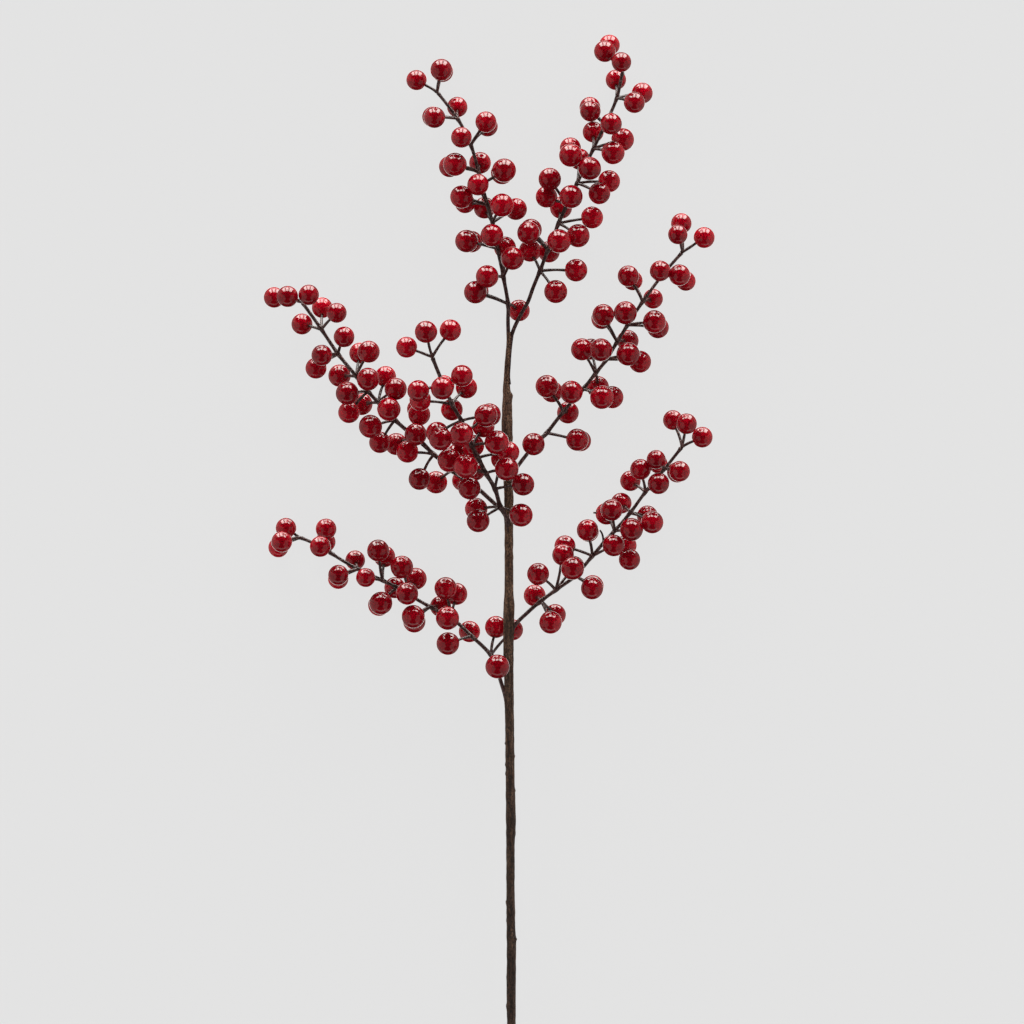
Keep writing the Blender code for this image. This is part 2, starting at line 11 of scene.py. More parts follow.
import bpy
import numpy as np
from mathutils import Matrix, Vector


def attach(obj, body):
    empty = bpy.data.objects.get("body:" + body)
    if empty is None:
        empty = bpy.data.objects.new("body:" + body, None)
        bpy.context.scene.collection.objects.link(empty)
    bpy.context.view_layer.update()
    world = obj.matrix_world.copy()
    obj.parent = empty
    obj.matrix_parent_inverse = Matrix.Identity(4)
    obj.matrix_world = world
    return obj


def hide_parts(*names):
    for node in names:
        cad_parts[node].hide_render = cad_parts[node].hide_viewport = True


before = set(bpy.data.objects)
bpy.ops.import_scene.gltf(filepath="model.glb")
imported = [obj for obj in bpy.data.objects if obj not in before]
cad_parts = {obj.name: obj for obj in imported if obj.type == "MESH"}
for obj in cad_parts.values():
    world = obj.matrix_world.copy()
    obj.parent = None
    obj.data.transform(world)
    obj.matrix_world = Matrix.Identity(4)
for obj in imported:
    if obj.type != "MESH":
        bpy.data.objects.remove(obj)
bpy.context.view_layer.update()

# Size and place of the plan grid
PLAN_STEP = 0.00055
PLAN_CENTRE = (489.175, 672.3)

# Berries and stalks
BERRY_REACH = 0.0165
BERRY_GAP = 0.0004
STALK_RADIUS = 0.0006
LEAST_DROP = 0.002
FRONT, SIDE, LOW, BACK, DEEP, UNDER = 1.0, 0.0, -0.45, -1.0, -1.35, -4.0

# Twigs
TWIG_ROOT_RADIUS = 0.00095
TWIG_TIP_RADIUS = 0.00080
KNOT_SWELL = 1.25
TWIG_SPANS = 2
ROOT_LENGTH = 12
ROOT_SINK = 0.0005

# Stem and the wire in it
STEM_SIDES = 10
STEM_SLOPE = 0.0467
WIRE_RADIUS = 0.00075
CLEARANCE = 0.0003

# Settling of the berries among each other
SETTLE_STEPS = 400
SETTLE_SHARE = 0.6
SOLID_SPACING = 0.002
LEVEL_TIE = 0.00001

# Stem stations: y, the middle's x and the width, from the top end to the cut end
STEM_STATIONS = (
    (386, 506.6, 7.2),
    (391, 506.7, 7.6),
    (395, 507.4, 8.8),
    (405, 507.2, 10.0),
    (412, 507.2, 10.6),
    (430, 507.1, 11.1),
    (452, 507.4, 10.6),
    (470, 507.8, 9.3),
    (482, 507.8, 8.4),
    (497, 509.0, 9.6),
    (505, 508.9, 9.0),
    (560, 508.9, 8.7),
    (585, 509.1, 8.7),
    (596, 509.0, 9.6),
    (606, 509.2, 11.3),
    (617, 508.8, 11.1),
    (645, 508.5, 10.3),
    (680, 508.9, 9.6),
    (705, 509.2, 9.1),
    (720, 509.6, 8.7),
    (785, 510.3, 9.1),
    (815, 510.9, 9.9),
    (826, 511.1, 9.7),
    (842, 510.5, 8.4),
    (880, 510.4, 8.3),
    (900, 510.6, 8.7),
    (935, 511.0, 8.9),
    (942, 511.4, 9.4),
    (985, 511.1, 9.2),
    (1020, 511.3, 9.1),
    (1170, 512.9, 9.3),
    (1308, 514.0, 9.5),
)

# A spray leaves the stem at root_y, on the side that root_angle gives in degrees from
# the right over the top. tip_z and arch shape its height in metres. Each row of whorls
# is a point on the twig and the berries that grow there: x, y, diameter and level. A row
# with no berries is a bend.
Spray = namedtuple("Spray", "name root_y root_angle tip_z arch whorls")

TOP_LEFT_WHORLS = (
    ((508.0, 320),),
    ((508.0, 304), (475.4, 292.4, 22.5, FRONT), (478, 291, 21, BACK), (519, 310.3, 21.5, BACK)),
    ((503.5, 277.5), (487.2, 276.8, 22.4, FRONT), (512.5, 258.8, 22.7, FRONT), (505, 247.5, 22, BACK)),
    ((497.7, 249), (466.5, 241.2, 22.5, FRONT), (471.5, 241.5, 21.5, BACK), (492, 235.7, 22.5, FRONT)),
    ((492.5, 223), (502, 205.5, 23, FRONT), (516, 209, 21.8, BACK), (484.5, 207.5, 21.5, BACK)),
    ((487.5, 205), (461.6, 197, 22.5, FRONT), (465, 203, 20, BACK), (478, 185, 21.2, FRONT)),
    ((482, 185), (504.2, 170.5, 23.5, FRONT), (502, 173, 22, BACK)),
    ((478.5, 171.5), (455, 164.6, 23, FRONT), (449.5, 166.5, 21, BACK), (480, 162.5, 21.7, BACK)),
    ((470.8, 145), (485.9, 122.1, 20.8, FRONT), (487.5, 126, 20.3, BACK), (461.4, 137.8, 20.5, FRONT)),
    ((457.5, 118.5), (434.5, 117.7, 21, FRONT), (432.5, 116.5, 20.5, BACK), (457.2, 106.5, 20.3, BACK)),
    ((437.2, 92), (416.5, 80, 20, SIDE), (441.4, 70, 21.5, FRONT), (442.5, 71, 21, BACK)),
)

TOP_RIGHT_WHORLS = (
    ((513, 331),),
    ((519.5, 317),),
    ((527.7, 302.6),),
    ((533.8, 286),),
    ((540, 271), (576, 270.3, 22.5, SIDE), (555.7, 291.8, 23, FRONT), (530, 250.5, 22, BACK)),
    ((547.8, 250), (528.4, 233, 22.3, FRONT), (531, 229.5, 21.5, BACK), (559, 241.5, 23.3, FRONT),
     (549, 251.5, 21.5, BACK)),
    ((558.5, 223.5), (592, 217.5, 22, SIDE), (578, 236, 23, FRONT), (561, 207.5, 22, BACK)),
    ((566.5, 206), (549.8, 179.3, 22.4, FRONT), (546.5, 196.8, 21.5, SIDE), (571, 197, 23, FRONT)),
    ((577, 183.5), (609, 181.2, 22, BACK), (599.3, 193.5, 21.7, FRONT), (579.5, 159, 21, BACK)),
    ((587, 162.5), (589.5, 168.8, 22.8, FRONT), (570.5, 147.5, 21, BACK), (570.5, 155.8, 22.7, FRONT)),
    ((593.3, 149), (622.7, 139.5, 22.6, BACK), (613, 153, 23, FRONT), (593.3, 131.5, 21, BACK)),
    ((604.5, 126), (590, 107, 20.7, BACK), (590.2, 111.5, 20.4, FRONT), (611, 124.3, 21.3, FRONT)),
    ((616.8, 98), (642.3, 92.7, 20.8, BACK), (634.2, 103, 20.8, FRONT), (616, 79.3, 20.3, BACK)),
    ((622.5, 72), (609.5, 44.8, 20.5, BACK), (604.7, 51.5, 21.2, FRONT), (621.3, 62.5, 19.5, FRONT)),
)

RIGHT_UPPER_WHORLS = (
    ((519, 464.5),),
    ((528, 453),),
    ((546.6, 433), (533.5, 444.3, 22.3, FRONT), (577.2, 439.8, 22, FRONT), (580.5, 440.8, 21, BACK)),
    ((563.3, 411.6), (546.8, 386.3, 22.5, FRONT), (552, 391.5, 21.5, BACK), (568, 412.5, 21.7, BACK)),
    ((583, 389), (601.7, 397.5, 23.2, FRONT), (612.2, 397.2, 22.2, BACK), (571.3, 392.2, 22.7, FRONT)),
    ((595.5, 373.5), (582, 349.5, 22, FRONT), (591, 349, 21, BACK), (598, 387, 22, BACK)),
    ((606.5, 359.5), (628, 354.3, 23, FRONT), (640, 361.7, 22, BACK), (600.8, 350, 22.5, FRONT)),
    ((617, 342), (603.3, 315, 21.8, FRONT), (601.8, 318.5, 20.8, BACK), (628, 340.5, 21.5, BACK)),
    ((627.5, 325), (654.3, 321.8, 22.5, FRONT), (658, 327.5, 21.5, BACK), (625.3, 313, 22.8, FRONT)),
    ((642.5, 302), (628.2, 276, 21, FRONT), (632.8, 280.3, 19.6, BACK), (653.2, 298.5, 19.7, BACK)),
    ((664, 273), (660, 271.2, 20.5, FRONT), (679.3, 275.2, 21, FRONT), (686, 280.8, 19.5, BACK)),
    ((682.5, 252), (681.4, 223.3, 20.4, BACK), (677.6, 234.8, 19.2, FRONT), (704.2, 237.5, 20.8, SIDE)),
)

LEFT_UPPER_WHORLS = (
    ((497.5, 506.5),),
    ((487.5, 497),),
    ((479, 489.5),),
    ((468, 482), (469.4, 488.2, 22.3, FRONT), (462.5, 480.5, 21, BACK)),
    ((452, 470.5), (449.5, 460.3, 23.5, FRONT), (436, 482.3, 22.3, BACK)),
    ((434, 454.5), (419.5, 479, 21.7, FRONT), (407.5, 451.7, 22, SIDE), (415.8, 434.4, 22.2, FRONT)),
    ((415, 437.5), (396, 444, 22, BACK), (419.3, 414.5, 22, SIDE), (417.5, 409, 21, BACK)),
    ((395, 420), (370.6, 426.5, 23, FRONT), (379.8, 442.3, 21.3, BACK), (389, 409.3, 23, FRONT)),
    ((378.5, 402.5), (361.3, 404, 22, BACK), (385.5, 376.5, 21, BACK), (395.8, 389, 22.1, FRONT)),
    ((368, 391.5), (347.3, 393.3, 22.7, FRONT), (349, 412.3, 21.5, SIDE), (368.3, 379.3, 22.5, FRONT)),
    ((356.5, 376.5), (359.5, 353, 20.8, BACK), (368.8, 351.8, 21.8, FRONT), (339.3, 375.5, 22.2, BACK)),
    ((338, 354), (344.2, 337, 20.5, FRONT), (322, 355.3, 20.5, FRONT), (315.8, 368, 21, BACK)),
    ((321.5, 329.5), (336.8, 313, 19.8, FRONT), (322, 307.5, 20.5, BACK), (301.7, 323.8, 20.9, BACK)),
    ((302, 302), (309, 295, 20.2, FRONT), (287.7, 296.6, 21, FRONT), (274, 297.3, 20.5, BACK)),
)

MIDDLE_WHORLS = (
    ((500.5, 507), (476.2, 509, 22.4, BACK), (478.2, 520.8, 22.7, FRONT), (521.1, 515.1, 23.1, FRONT)),
    ((495, 489), (523.1, 484.5, 22.3, FRONT), (501.5, 459, 21, BACK)),
    ((486, 473.5), (506.8, 469, 23.4, FRONT), (465.9, 466.2, 24, FRONT), (475, 470, 21, BACK)),
    ((478.3, 458), (508.5, 452.5, 21.5, BACK), (473.5, 446, 21.5, LOW), (457, 455, 22, DEEP)),
    ((472, 446), (496.8, 442.7, 23.8, FRONT), (483.5, 426.5, 22, BACK), (460, 436.5, 22, BACK)),
    ((466.5, 433.5), (489.3, 415, 22.8, BACK), (440.8, 439, 22.8, FRONT), (461.8, 434.3, 23, FRONT)),
    ((461.5, 421), (485.8, 415.8, 22.3, FRONT), (437.5, 433, 22, BACK)),
    ((452.3, 404.5), (420.6, 400.5, 21.3, SIDE), (466.6, 388, 21.2, BACK), (452, 409.8, 21.6, BACK)),
    ((444, 386), (418.6, 391.3, 21.3, FRONT), (462.1, 376.3, 21.5, FRONT), (442.5, 388.8, 22.4, FRONT),
     (444, 386, 21, BACK)),
    ((432.5, 357.5), (407, 347.7, 20.8, SIDE), (426.3, 332.5, 22, FRONT), (450.5, 330.8, 21.4, SIDE)),
)

LEFT_LOWER_WHORLS = (
    ((500.3, 680),),
    ((496, 665),),
    ((491, 655), (496.0, 627, 21.9, BACK), (512.5, 630, 21, UNDER), (497.3, 666.4, 23.7, FRONT)),
    ((471.5, 636), (447.9, 643.5, 22.5, FRONT), (469.4, 631.7, 21.3, BACK)),
    ((452, 618.5), (445.7, 588.3, 22.4, FRONT), (456.3, 594, 22, BACK), (447.6, 618, 23, FRONT)),
    ((430.5, 607), (413.3, 616.4, 22.7, FRONT), (414.2, 621.5, 22.3, BACK), (440.5, 606.5, 21, BACK)),
    ((411, 596), (401.9, 567, 22.5, FRONT), (415.6, 578.8, 21.8, BACK), (407.2, 593.5, 22, FRONT)),
    ((397, 587.5), (381, 603, 22.7, FRONT), (379, 605, 22, BACK), (394.7, 587.8, 21, BACK)),
    ((382.5, 580.5), (378.2, 550.5, 21.9, FRONT), (384.4, 556.5, 21.4, BACK), (365.8, 577.5, 18.8, FRONT)),
    ((358, 569), (338.4, 574.9, 19.9, FRONT), (338, 578.8, 20.3, BACK), (355, 560.3, 19.6, BACK)),
    ((345, 562),),
    ((330.5, 553), (326, 529, 20.6, SIDE), (325, 542, 20.5, BACK), (320.4, 546.5, 20.6, FRONT)),
    ((313, 543),),
    ((300, 537.5), (285.9, 528.2, 20.4, SIDE), (281.9, 541.7, 20.5, FRONT), (278.2, 547.3, 20, BACK)),
)

RIGHT_LOWER_WHORLS = (
    ((530.2, 610.1),),
    ((540.8, 601.1), (550.5, 622.3, 22.4, FRONT), (555.2, 614.8, 21.3, BACK), (534.7, 595.6, 21.8, BACK)),
    ((555.7, 590.1), (538.1, 573.9, 21.9, FRONT), (563, 554.8, 21.5, FRONT), (573.5, 567, 22, BACK)),
    ((575, 576), (592, 588.3, 22, FRONT), (592.7, 586.2, 22, BACK), (572.6, 568.3, 22.8, FRONT)),
    ((592.5, 556), (565, 546, 21, BACK), (587.5, 530, 21.3, FRONT), (588.5, 531.5, 20.5, BACK),
     (613.5, 545.5, 21.5, FRONT)),
    ((606, 540), (626, 545.5, 21.3, BACK), (629.5, 559.4, 21.2, FRONT)),
    ((614.5, 531), (611.5, 510, 21.5, FRONT), (606.5, 513.7, 21.8, BACK), (631.4, 529.5, 22.7, FRONT)),
    ((630, 513), (647.5, 516, 20.8, BACK), (652.2, 522.3, 22, FRONT), (621.3, 503.2, 20.8, BACK)),
    ((645.5, 492), (640.4, 469.4, 20.6, FRONT), (630.5, 480.8, 20.4, BACK), (658.4, 483.5, 21.2, FRONT)),
    ((664.5, 469), (656, 459.5, 18.8, FRONT), (658.3, 463.8, 18.8, BACK), (679.5, 471.4, 20.5, FRONT),
     (677.5, 472.2, 20.5, BACK)),
    ((682, 447), (673, 420, 19.6, BACK), (686.4, 423.8, 20.5, FRONT), (702.3, 437.2, 20.6, SIDE)),
)

SIDE_SPRAYS = (
    Spray("spray_right_upper", 475, 5, 0.0185, 0.001, RIGHT_UPPER_WHORLS),
    Spray("spray_left_upper", 514, 180, 0.0182, 0.000, LEFT_UPPER_WHORLS),
    Spray("spray_middle", 520, 112, 0.0570, 0.008, MIDDLE_WHORLS),
    Spray("spray_left_lower", 694, 180, 0.0170, 0.002, LEFT_LOWER_WHORLS),
    Spray("spray_right_lower", 627, 0, 0.0180, 0.001, RIGHT_LOWER_WHORLS),
)

# The top fork's leader stands in a socket in the stem's top end, and both arms start inside
# its upper end. Its points give the middle's x, y and the width.
LEADER = ((506.6, 378, 5.5), (507.3, 366, 5.7), (508.2, 355, 5.2), (508.9, 344, 5.2), (508.8, 332, 3.6))
LEADER_WIDTH = 5.4
SOCKET_DEPTH = 14
LEFT_ARM_START = (508.6, 343)
RIGHT_ARM_START = (508.9, 345)
FORK_TIP_Z = 0.0185

Twig = namedtuple("Twig", "points radii")
Berry = namedtuple("Berry", "spray knot x y radius level")
Arm = namedtuple("Arm", "spray controls knots")


def plan(x, y, z=0.0):
    """The place in metres of a point on the plan grid."""
    return Vector(((x - PLAN_CENTRE[0]) * PLAN_STEP, (PLAN_CENTRE[1] - y) * PLAN_STEP, z))


def stem_at(y):
    """The stem's axis point and its radius at plan y."""
    rows = np.array(STEM_STATIONS)
    middle = np.interp(y, rows[:, 0], rows[:, 1])
    radius = np.interp(y, rows[:, 0], rows[:, 2]) * PLAN_STEP / 2
    end_y, _, end_width = STEM_STATIONS[-1]
    end_height = end_width * PLAN_STEP / 2 * math.cos(math.pi / STEM_SIDES)
    height = end_height + STEM_SLOPE * (end_y - y) * PLAN_STEP
    return plan(middle, y, height), radius


def stem_side(y, degrees, radius):
    """Where a twig of this radius lies along the stem, sunk a little into its side."""
    axis, stem_radius = stem_at(y)
    reach = stem_radius + radius - ROOT_SINK
    angle = math.radians(degrees)
    return axis + Vector((math.cos(angle), 0.0, math.sin(angle))) * reach


def heights_along(flat_points, root_z, tip_z, arch):
    """A height for each point, by its share of the way along the twig."""
    steps = [(b - a).length for a, b in zip(flat_points, flat_points[1:])]
    walked = np.concatenate(([0.0], np.cumsum(steps)))
    share = walked / walked[-1]
    return root_z + (tip_z - root_z) * share + 4 * arch * share * (1 - share)


def smooth_path(points, spans):
    """Points on a smooth curve through the given ones, with this many spans between two."""
    chord = [(b - a).length for a, b in zip(points, points[1:])]
    slopes = []
    for i in range(len(points)):
        low, high = max(i - 1, 0), min(i + 1, len(points) - 1)
        slopes.append((points[high] - points[low]) / sum(chord[low:high]))
    path = []
    for i, length in enumerate(chord):
        for step in range(spans):
            t = step / spans
            path.append(
                points[i] * (2 * t**3 - 3 * t**2 + 1)
                + points[i + 1] * (3 * t**2 - 2 * t**3)
                + slopes[i] * length * (t**3 - 2 * t**2 + t)
                + slopes[i + 1] * length * (t**3 - t**2)
            )
    return path + [points[-1].copy()]


def twig_along(controls, knots):
    """A twig through its control points, a little thicker at each knot."""
    points = smooth_path(controls, TWIG_SPANS)
    radii = []
    for i in range(len(points)):
        radius = TWIG_ROOT_RADIUS + (TWIG_TIP_RADIUS - TWIG_ROOT_RADIUS) * i / (len(points) - 1)
        at_knot = i % TWIG_SPANS == 0 and i // TWIG_SPANS in knots
        radii.append(radius * KNOT_SWELL if at_knot else radius)
    return Twig(points, radii)


def grow(spray_name, lead, whorls, tip_z, arch):
    """The control points, knots and twig of one arm, and its berries before they settle."""
    flat = [Vector((lead[-1].x, lead[-1].y, 0.0))] + [plan(*row[0]) for row in whorls]
    heights = heights_along(flat, lead[-1].z, tip_z, arch)
    for point, z in zip(flat, heights):
        point.z = z
    controls = lead[:-1] + flat
    first = len(lead)
    knots = [first + i for i, row in enumerate(whorls) if len(row) > 1]
    twig = twig_along(controls, knots)
    berries = []
    for i, row in enumerate(whorls):
        for x, y, width, level in row[1:]:
            spot = plan(x, y)
            radius = width * PLAN_STEP / 2
            berries.append(Berry(spray_name, controls[first + i], spot.x, spot.y, radius, level))
    return controls, knots, twig, berries


def along_segments(points, radii):
    """Points spaced closely along a path, each with its radius."""
    spaced = []
    for a, b, radius_a, radius_b in zip(points, points[1:], radii, radii[1:]):
        count = math.ceil((b - a).length / SOLID_SPACING)
        for step in range(count):
            share = step / count
            spaced.append((*a.lerp(b, share), radius_a + (radius_b - radius_a) * share))
    return spaced


def berry_heights(berries, solids):
    """Heights at which the berries hang clear of the floor, each other, the twigs and the stem.

    A berry only moves up or down, so the plan stays as it is.
    """
    flat = np.array([(b.x, b.y) for b in berries])
    radius = np.array([b.radius for b in berries])
    level = np.array([b.level for b in berries])
    knot = np.array([tuple(b.knot) for b in berries])
    reach = np.linalg.norm(flat - knot[:, :2], axis=1)
    z = knot[:, 2] + level * np.sqrt(np.maximum(BERRY_REACH**2 - reach**2, LEAST_DROP**2))
    z = np.maximum(z, radius)

    apart = np.linalg.norm(flat[:, None] - flat[None], axis=2)
    need = np.sqrt(np.maximum((radius[:, None] + radius[None] + BERRY_GAP) ** 2 - apart**2, 0.0))
    np.fill_diagonal(need, 0.0)
    order = np.sign(z[:, None] - z[None] + LEVEL_TIE * (level[:, None] - level[None]))

    solids = np.array(solids)
    beside = np.linalg.norm(flat[:, None] - solids[None, :, :2], axis=2)
    clear = np.sqrt(np.maximum((radius[:, None] + solids[None, :, 3] + BERRY_GAP) ** 2 - beside**2, 0.0))
    over = np.where(z[:, None] >= solids[None, :, 2], 1.0, -1.0)

    for _ in range(SETTLE_STEPS):
        from_berries = 0.5 * order * np.maximum(need - order * (z[:, None] - z[None]), 0.0)
        from_solids = over * np.maximum(clear - over * (z[:, None] - solids[None, :, 2]), 0.0)
        push = np.hstack((np.where(need > 0, from_berries, 0.0), np.where(clear > 0, from_solids, 0.0)))
        lift = np.maximum(push, 0.0).max(axis=1) + np.minimum(push, 0.0).min(axis=1)
        z = np.maximum(z + SETTLE_SHARE * lift, radius)
    return z


# Looks: how finely the pieces are drawn, and how uneven they are. ANY_PHASE is more than a
# full turn in radians.
SEED = 11
ANY_PHASE = 7
WAVE_RATES = (0.5, 1.0)
SHARP_ANGLE = 60
NEARLY_UPRIGHT = 0.9

# Drawn berries. The tones are the ranges from which a berry's brightness is drawn.
BERRY_AROUND = 36
BERRY_ALONG = 24
BERRY_COAT = 1.028
BERRY_LUMPS = 0.014
LUMP_WAVES = 4
LUMP_RATES = (1.5, 4.0)
DIMPLE_DEPTH = 0.07
DIMPLE_WIDTH = 0.2
OFF_AXIS = (0.31, 0.52, 0.79)
FRONT_TONES = (0.82, 1.18)
OTHER_TONES = (1.12, 1.58)

# Drawn twigs: the tape's edge winds round them once in TAPE_PITCH, and ROOT_DIPS sink their
# first two points deeper into the stem's wrap
DRAWN_ROOT_RADIUS = 0.00109
DRAWN_TIP_RADIUS = 0.00087
ROOT_DIPS = (0.0017, 0.0006)
TWIG_AROUND = 14
TWIG_STEP = 0.0008
TWIG_FINE_SPANS = 12
KNOT_RISE = 0.34
KNOT_SPREAD = 0.0022
TAPE_PITCH = 0.0105
TAPE_EDGE = 0.035
TAPE_LUMPS = 0.016
TAPE_WAVES = 5
TAPE_TURNS = (1, 2, 3, 4)
TAPE_PITCHES = (0.003, 0.012)
TIP_ROUNDING = 0.0008
TIP_LEAST = 0.15

# Drawn stalks: STALK_END is where one ends in its berry, as a share of the berry's radius,
# and STALK_CAP gives the height, place and spread of its swelling at the berry
STALK_AROUND = 10
STALK_SPANS = 10
STALK_BEND = 0.0005
STALK_BENDS = (0.3, 1.0)
STALK_LEAN = 0.0008
STALK_END = 0.8
STALK_WIDE = 1.44
STALK_TAPER = 0.24
STALK_CAP = (0.25, 0.86, 0.05)
STALK_UNEVEN = 0.06
STALK_TWIST = 9
BARE_WIDE = 1.1
BARE_TAPER = 0.3
BARE_SPANS = 6

# Small ends of tape and bud scales at the knots: their number, places along the twig,
# lengths, widths and how far they stand off
NUB_RINGS = 7
NUB_ROUND = (1, 0.6, 0.45, 0.6, 1, 0.6, 0.45, 0.6)
NUB_LEAST = 0.03
NUB_COUNTS = (3, 4, 5)
NUB_PLACES = (-0.0022, 0.0016)
NUB_LENGTHS = (0.0012, 0.0028)
NUB_WIDTHS = (0.0003, 0.00055)
NUB_SPLAY = 0.35
NUB_TILT = 0.2

# Twigs whose tape is rough on one side: on how many of their first spans, and the scales there
ROUGH_SPANS = {"spray_middle": 5}
ROUGH_PER_SPAN = 4
ROUGH_PLACES = (0.05, 0.95)
ROUGH_LENGTHS = (0.0010, 0.0020)
ROUGH_WIDTH = 0.0004
ROUGH_SPLAY = 0.6

# How much thicker some twigs are than the others, and how dark each spray's tape is
THICKER = {"spray_middle": 1.14, "spray_left_upper": 1.08}
TAPE_TONES = {
    "spray_top_fork": 0.62,
    "spray_right_upper": 0.78,
    "spray_left_upper": 0.7,
    "spray_middle": 0.62,
    "spray_left_lower": 0.74,
    "spray_right_lower": 0.88,
}

# Stalks without a berry, and the tail of the fork's right arm beside the leader: for each spray,
# the points they pass, x, y and height
BARE_STALKS = {
    "spray_right_lower": (
        ((603.5, 541.5, 0.0185), (603, 537, 0.0190), (601.8, 533, 0.0195), (600, 530.2, 0.0200)),
        ((600, 511.5, 0.0150), (596.5, 512.8, 0.0150), (593.3, 512.6, 0.0150)),
    ),
    "spray_top_fork": (
        ((512.4, 336, 0.0277), (511.3, 345, 0.0277), (510.4, 355, 0.0275), (509.8, 366, 0.0272),
         (509.3, 376, 0.0269), (510.2, 384.5, 0.0268)),
    ),
}
BARE_TONE = 0.55

# Drawn stem. A wave set is its number of waves, its height and its longest wave.
STEM_AROUND = 56
STEM_STEP = 0.001
STEM_SMOOTHING = 3
CREASE_FOLDS = (2, 3, 4, 5, 7, 9, 11)
CREASE_DEPTH = 0.00007
CREASE_DRIFT = (4, 1.6, 0.16)
CREASE_FADE = (3, 1.0, 0.1)
SEAM_HEIGHT = 0.00014
SEAM_START = 0.9
SEAM_TURN = 9.0
EDGE_WAVES = (14, 0.00022, 0.06)
END_BEVEL = 0.0004
END_BULGE = 0.0002
BORE_DEPTH = 12

# The wrap's last layer at the stem's top end, drawn in as a sleeve round the leader
SLEEVE_END_Y = 377
SLEEVE_LIFT = 0.00006
SLEEVE_SHARES = (0.0, 0.35, 0.7)
SLEEVE_FLARE = 1.5
SLEEVE_TUCK = 0.002

# How dark the wrap is: the shade's colour, and its share at each plan y
WRAP_SHADE = (0.3, 0.27, 0.25)
WRAP_SHADES = ((380, 430, 590, 620, 720, 790, 850), (0.0, 0.15, 0.08, 0.3, 0.62, 0.75, 0.97))

# Small ends of the wrap that stand out at the stem's edges: y, side (-1 left), height and
# length, all in plan steps. The long side lies towards the tips, or towards the foot where the
# length is negative. The slopes are those of the long side and the steep side.
WRAP_ENDS = (
    (395, 1, 1.3, -11),
    (384, 1, 1.0, 2.5),
    (438, 1, 0.4, 5),
    (558, 1, 0.3, 6),
    (655, -1, 0.4, 9),
    (744, -1, 0.9, 4),
    (757, 1, 0.9, 4),
    (765, -1, 0.8, 4),
    (774, -1, 0.8, 4),
    (791, 1, 0.8, 5),
    (835, 1, 0.4, 6),
    (902, -1, 1.0, -7),
    (921, -1, 0.5, 7),
    (940, 1, 1.0, 4),
    (978, -1, 0.4, 8),
    (1006, -1, 0.8, -8),
    (1062, 1, 0.7, 6),
    (1110, -1, 0.7, 7),
    (1175, 1, 0.7, 6),
    (1240, -1, 0.6, 8),
)
WRAP_END_SLOPES = (2.2, 5)
WRAP_END_FOCUS = 3

# Drawn leader
LEADER_AROUND = 28
LEADER_SPANS = 10
LEADER_FOLDS = (2, 3, 5, 7)
LEADER_UNEVEN = 0.022
LEADER_DRIFT = (3, 1.2, 0.05)
SOCKET_SHARE = 0.1

# The studio's sky, away from the camera's side: for each bright panel the azimuth of its middle
# in degrees from +Y towards +X, its half width, its lower and upper elevation, the softness of
# its edges and its radiance. In order: the body of the long softbox above the tips, its three
# bright bars and the thin arc over them, the four pale walls beside the branch, the backdrop
# behind its foot and the panel straight below it.
SKY_BASE = 0.03
SKY_TINT = (1.02, 1.0, 0.96)
SKY_PANELS = (
    (3, 36, -25, 27, 3, 2.4),
    (-29, 9, -24, 24, 2, 9.8),
    (-2, 9, -19, 29, 2, 9.8),
    (29, 12, -22, 26, 2, 9.8),
    (3, 32, -36, -28, 2, 7.5),
    (-108, 38, -48, 62, 5, 0.48),
    (112, 40, -48, 56, 5, 0.44),
    (-55, 18, -48, 16, 5, 0.43),
    (58, 15, -48, 14, 5, 0.38),
    (180, 36, -6, 14, 3, 0.95),
    (180, 181, -95, -67, 3, 1.6),
)

# Soft fill lights without a mirror image or a shadow: azimuth, elevation and strength
FILLS = ((0, 90, 1.1), (-95, 8, 1.7), (100, 8, 1.6), (180, 8, 0.4))
FILL_ANGLE = 80
FILL_DISTANCE = 2

# Backdrop, floor and camera
BACKDROP = (0.775, 0.775, 0.775)
FLOOR_SIZE = 60
FLOOR_Z = -0.0002
FLOOR_TONE = (0.04, 0.04, 0.04, 1.0)
FLOOR_GLOW = 0.719
IMAGE_SIZE = 1024
SENSOR_WIDTH = 36.0
CAMERA_HEIGHT = 12.0
CAMERA_CLIP = 100.0
FRAMED_Z = 0.022

dice = random.Random(SEED)


class Shape:
    """Vertices and faces of one piece, gathered part by part, with a darkening and a tone for each vertex:
    the darkening is painted shade in a berry's dimple and the wrap's darker tone towards the stem's foot.
    """

    def __init__(self):
        self.vertices = []
        self.faces = []
        self.wrap_tones_and_dimple_shades = []
        self.tones = []

    def add(self, vertices, faces, wrap_tones_and_dimple_shades=None, tone=1.0):
        """Adds a part whose faces count from its own first vertex."""
        first = len(self.vertices)
        self.vertices += [tuple(v) for v in vertices]
        self.faces += [tuple(first + k for k in face) for face in faces]
        self.wrap_tones_and_dimple_shades += list(wrap_tones_and_dimple_shades) if wrap_tones_and_dimple_shades is not None else [0.0] * len(vertices)
        self.tones += [tone] * len(vertices)

    def tube(self, points, radii, tone=1.0):
        """Adds a closed tube round a path."""
        self.add(skin(points, radii), ring_faces(*radii.shape), tone=tone)

    def piece(self, name, node, slot, material):
        """Makes the object that replaces a node."""
        mesh = bpy.data.meshes.new(name)
        mesh.from_pydata(self.vertices, [], self.faces)
        for kind, values in (("stain", self.wrap_tones_and_dimple_shades), ("tone", self.tones)):
            mesh.attributes.new(kind, "FLOAT", "POINT").data.foreach_set("value", values)
        mesh.materials.append(material)
        mesh.shade_smooth()
        mesh.set_sharp_from_angle(angle=math.radians(SHARP_ANGLE))
        made = bpy.data.objects.new(name, mesh)
        bpy.context.scene.collection.objects.link(made)
        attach(made, "root")
        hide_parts(node)


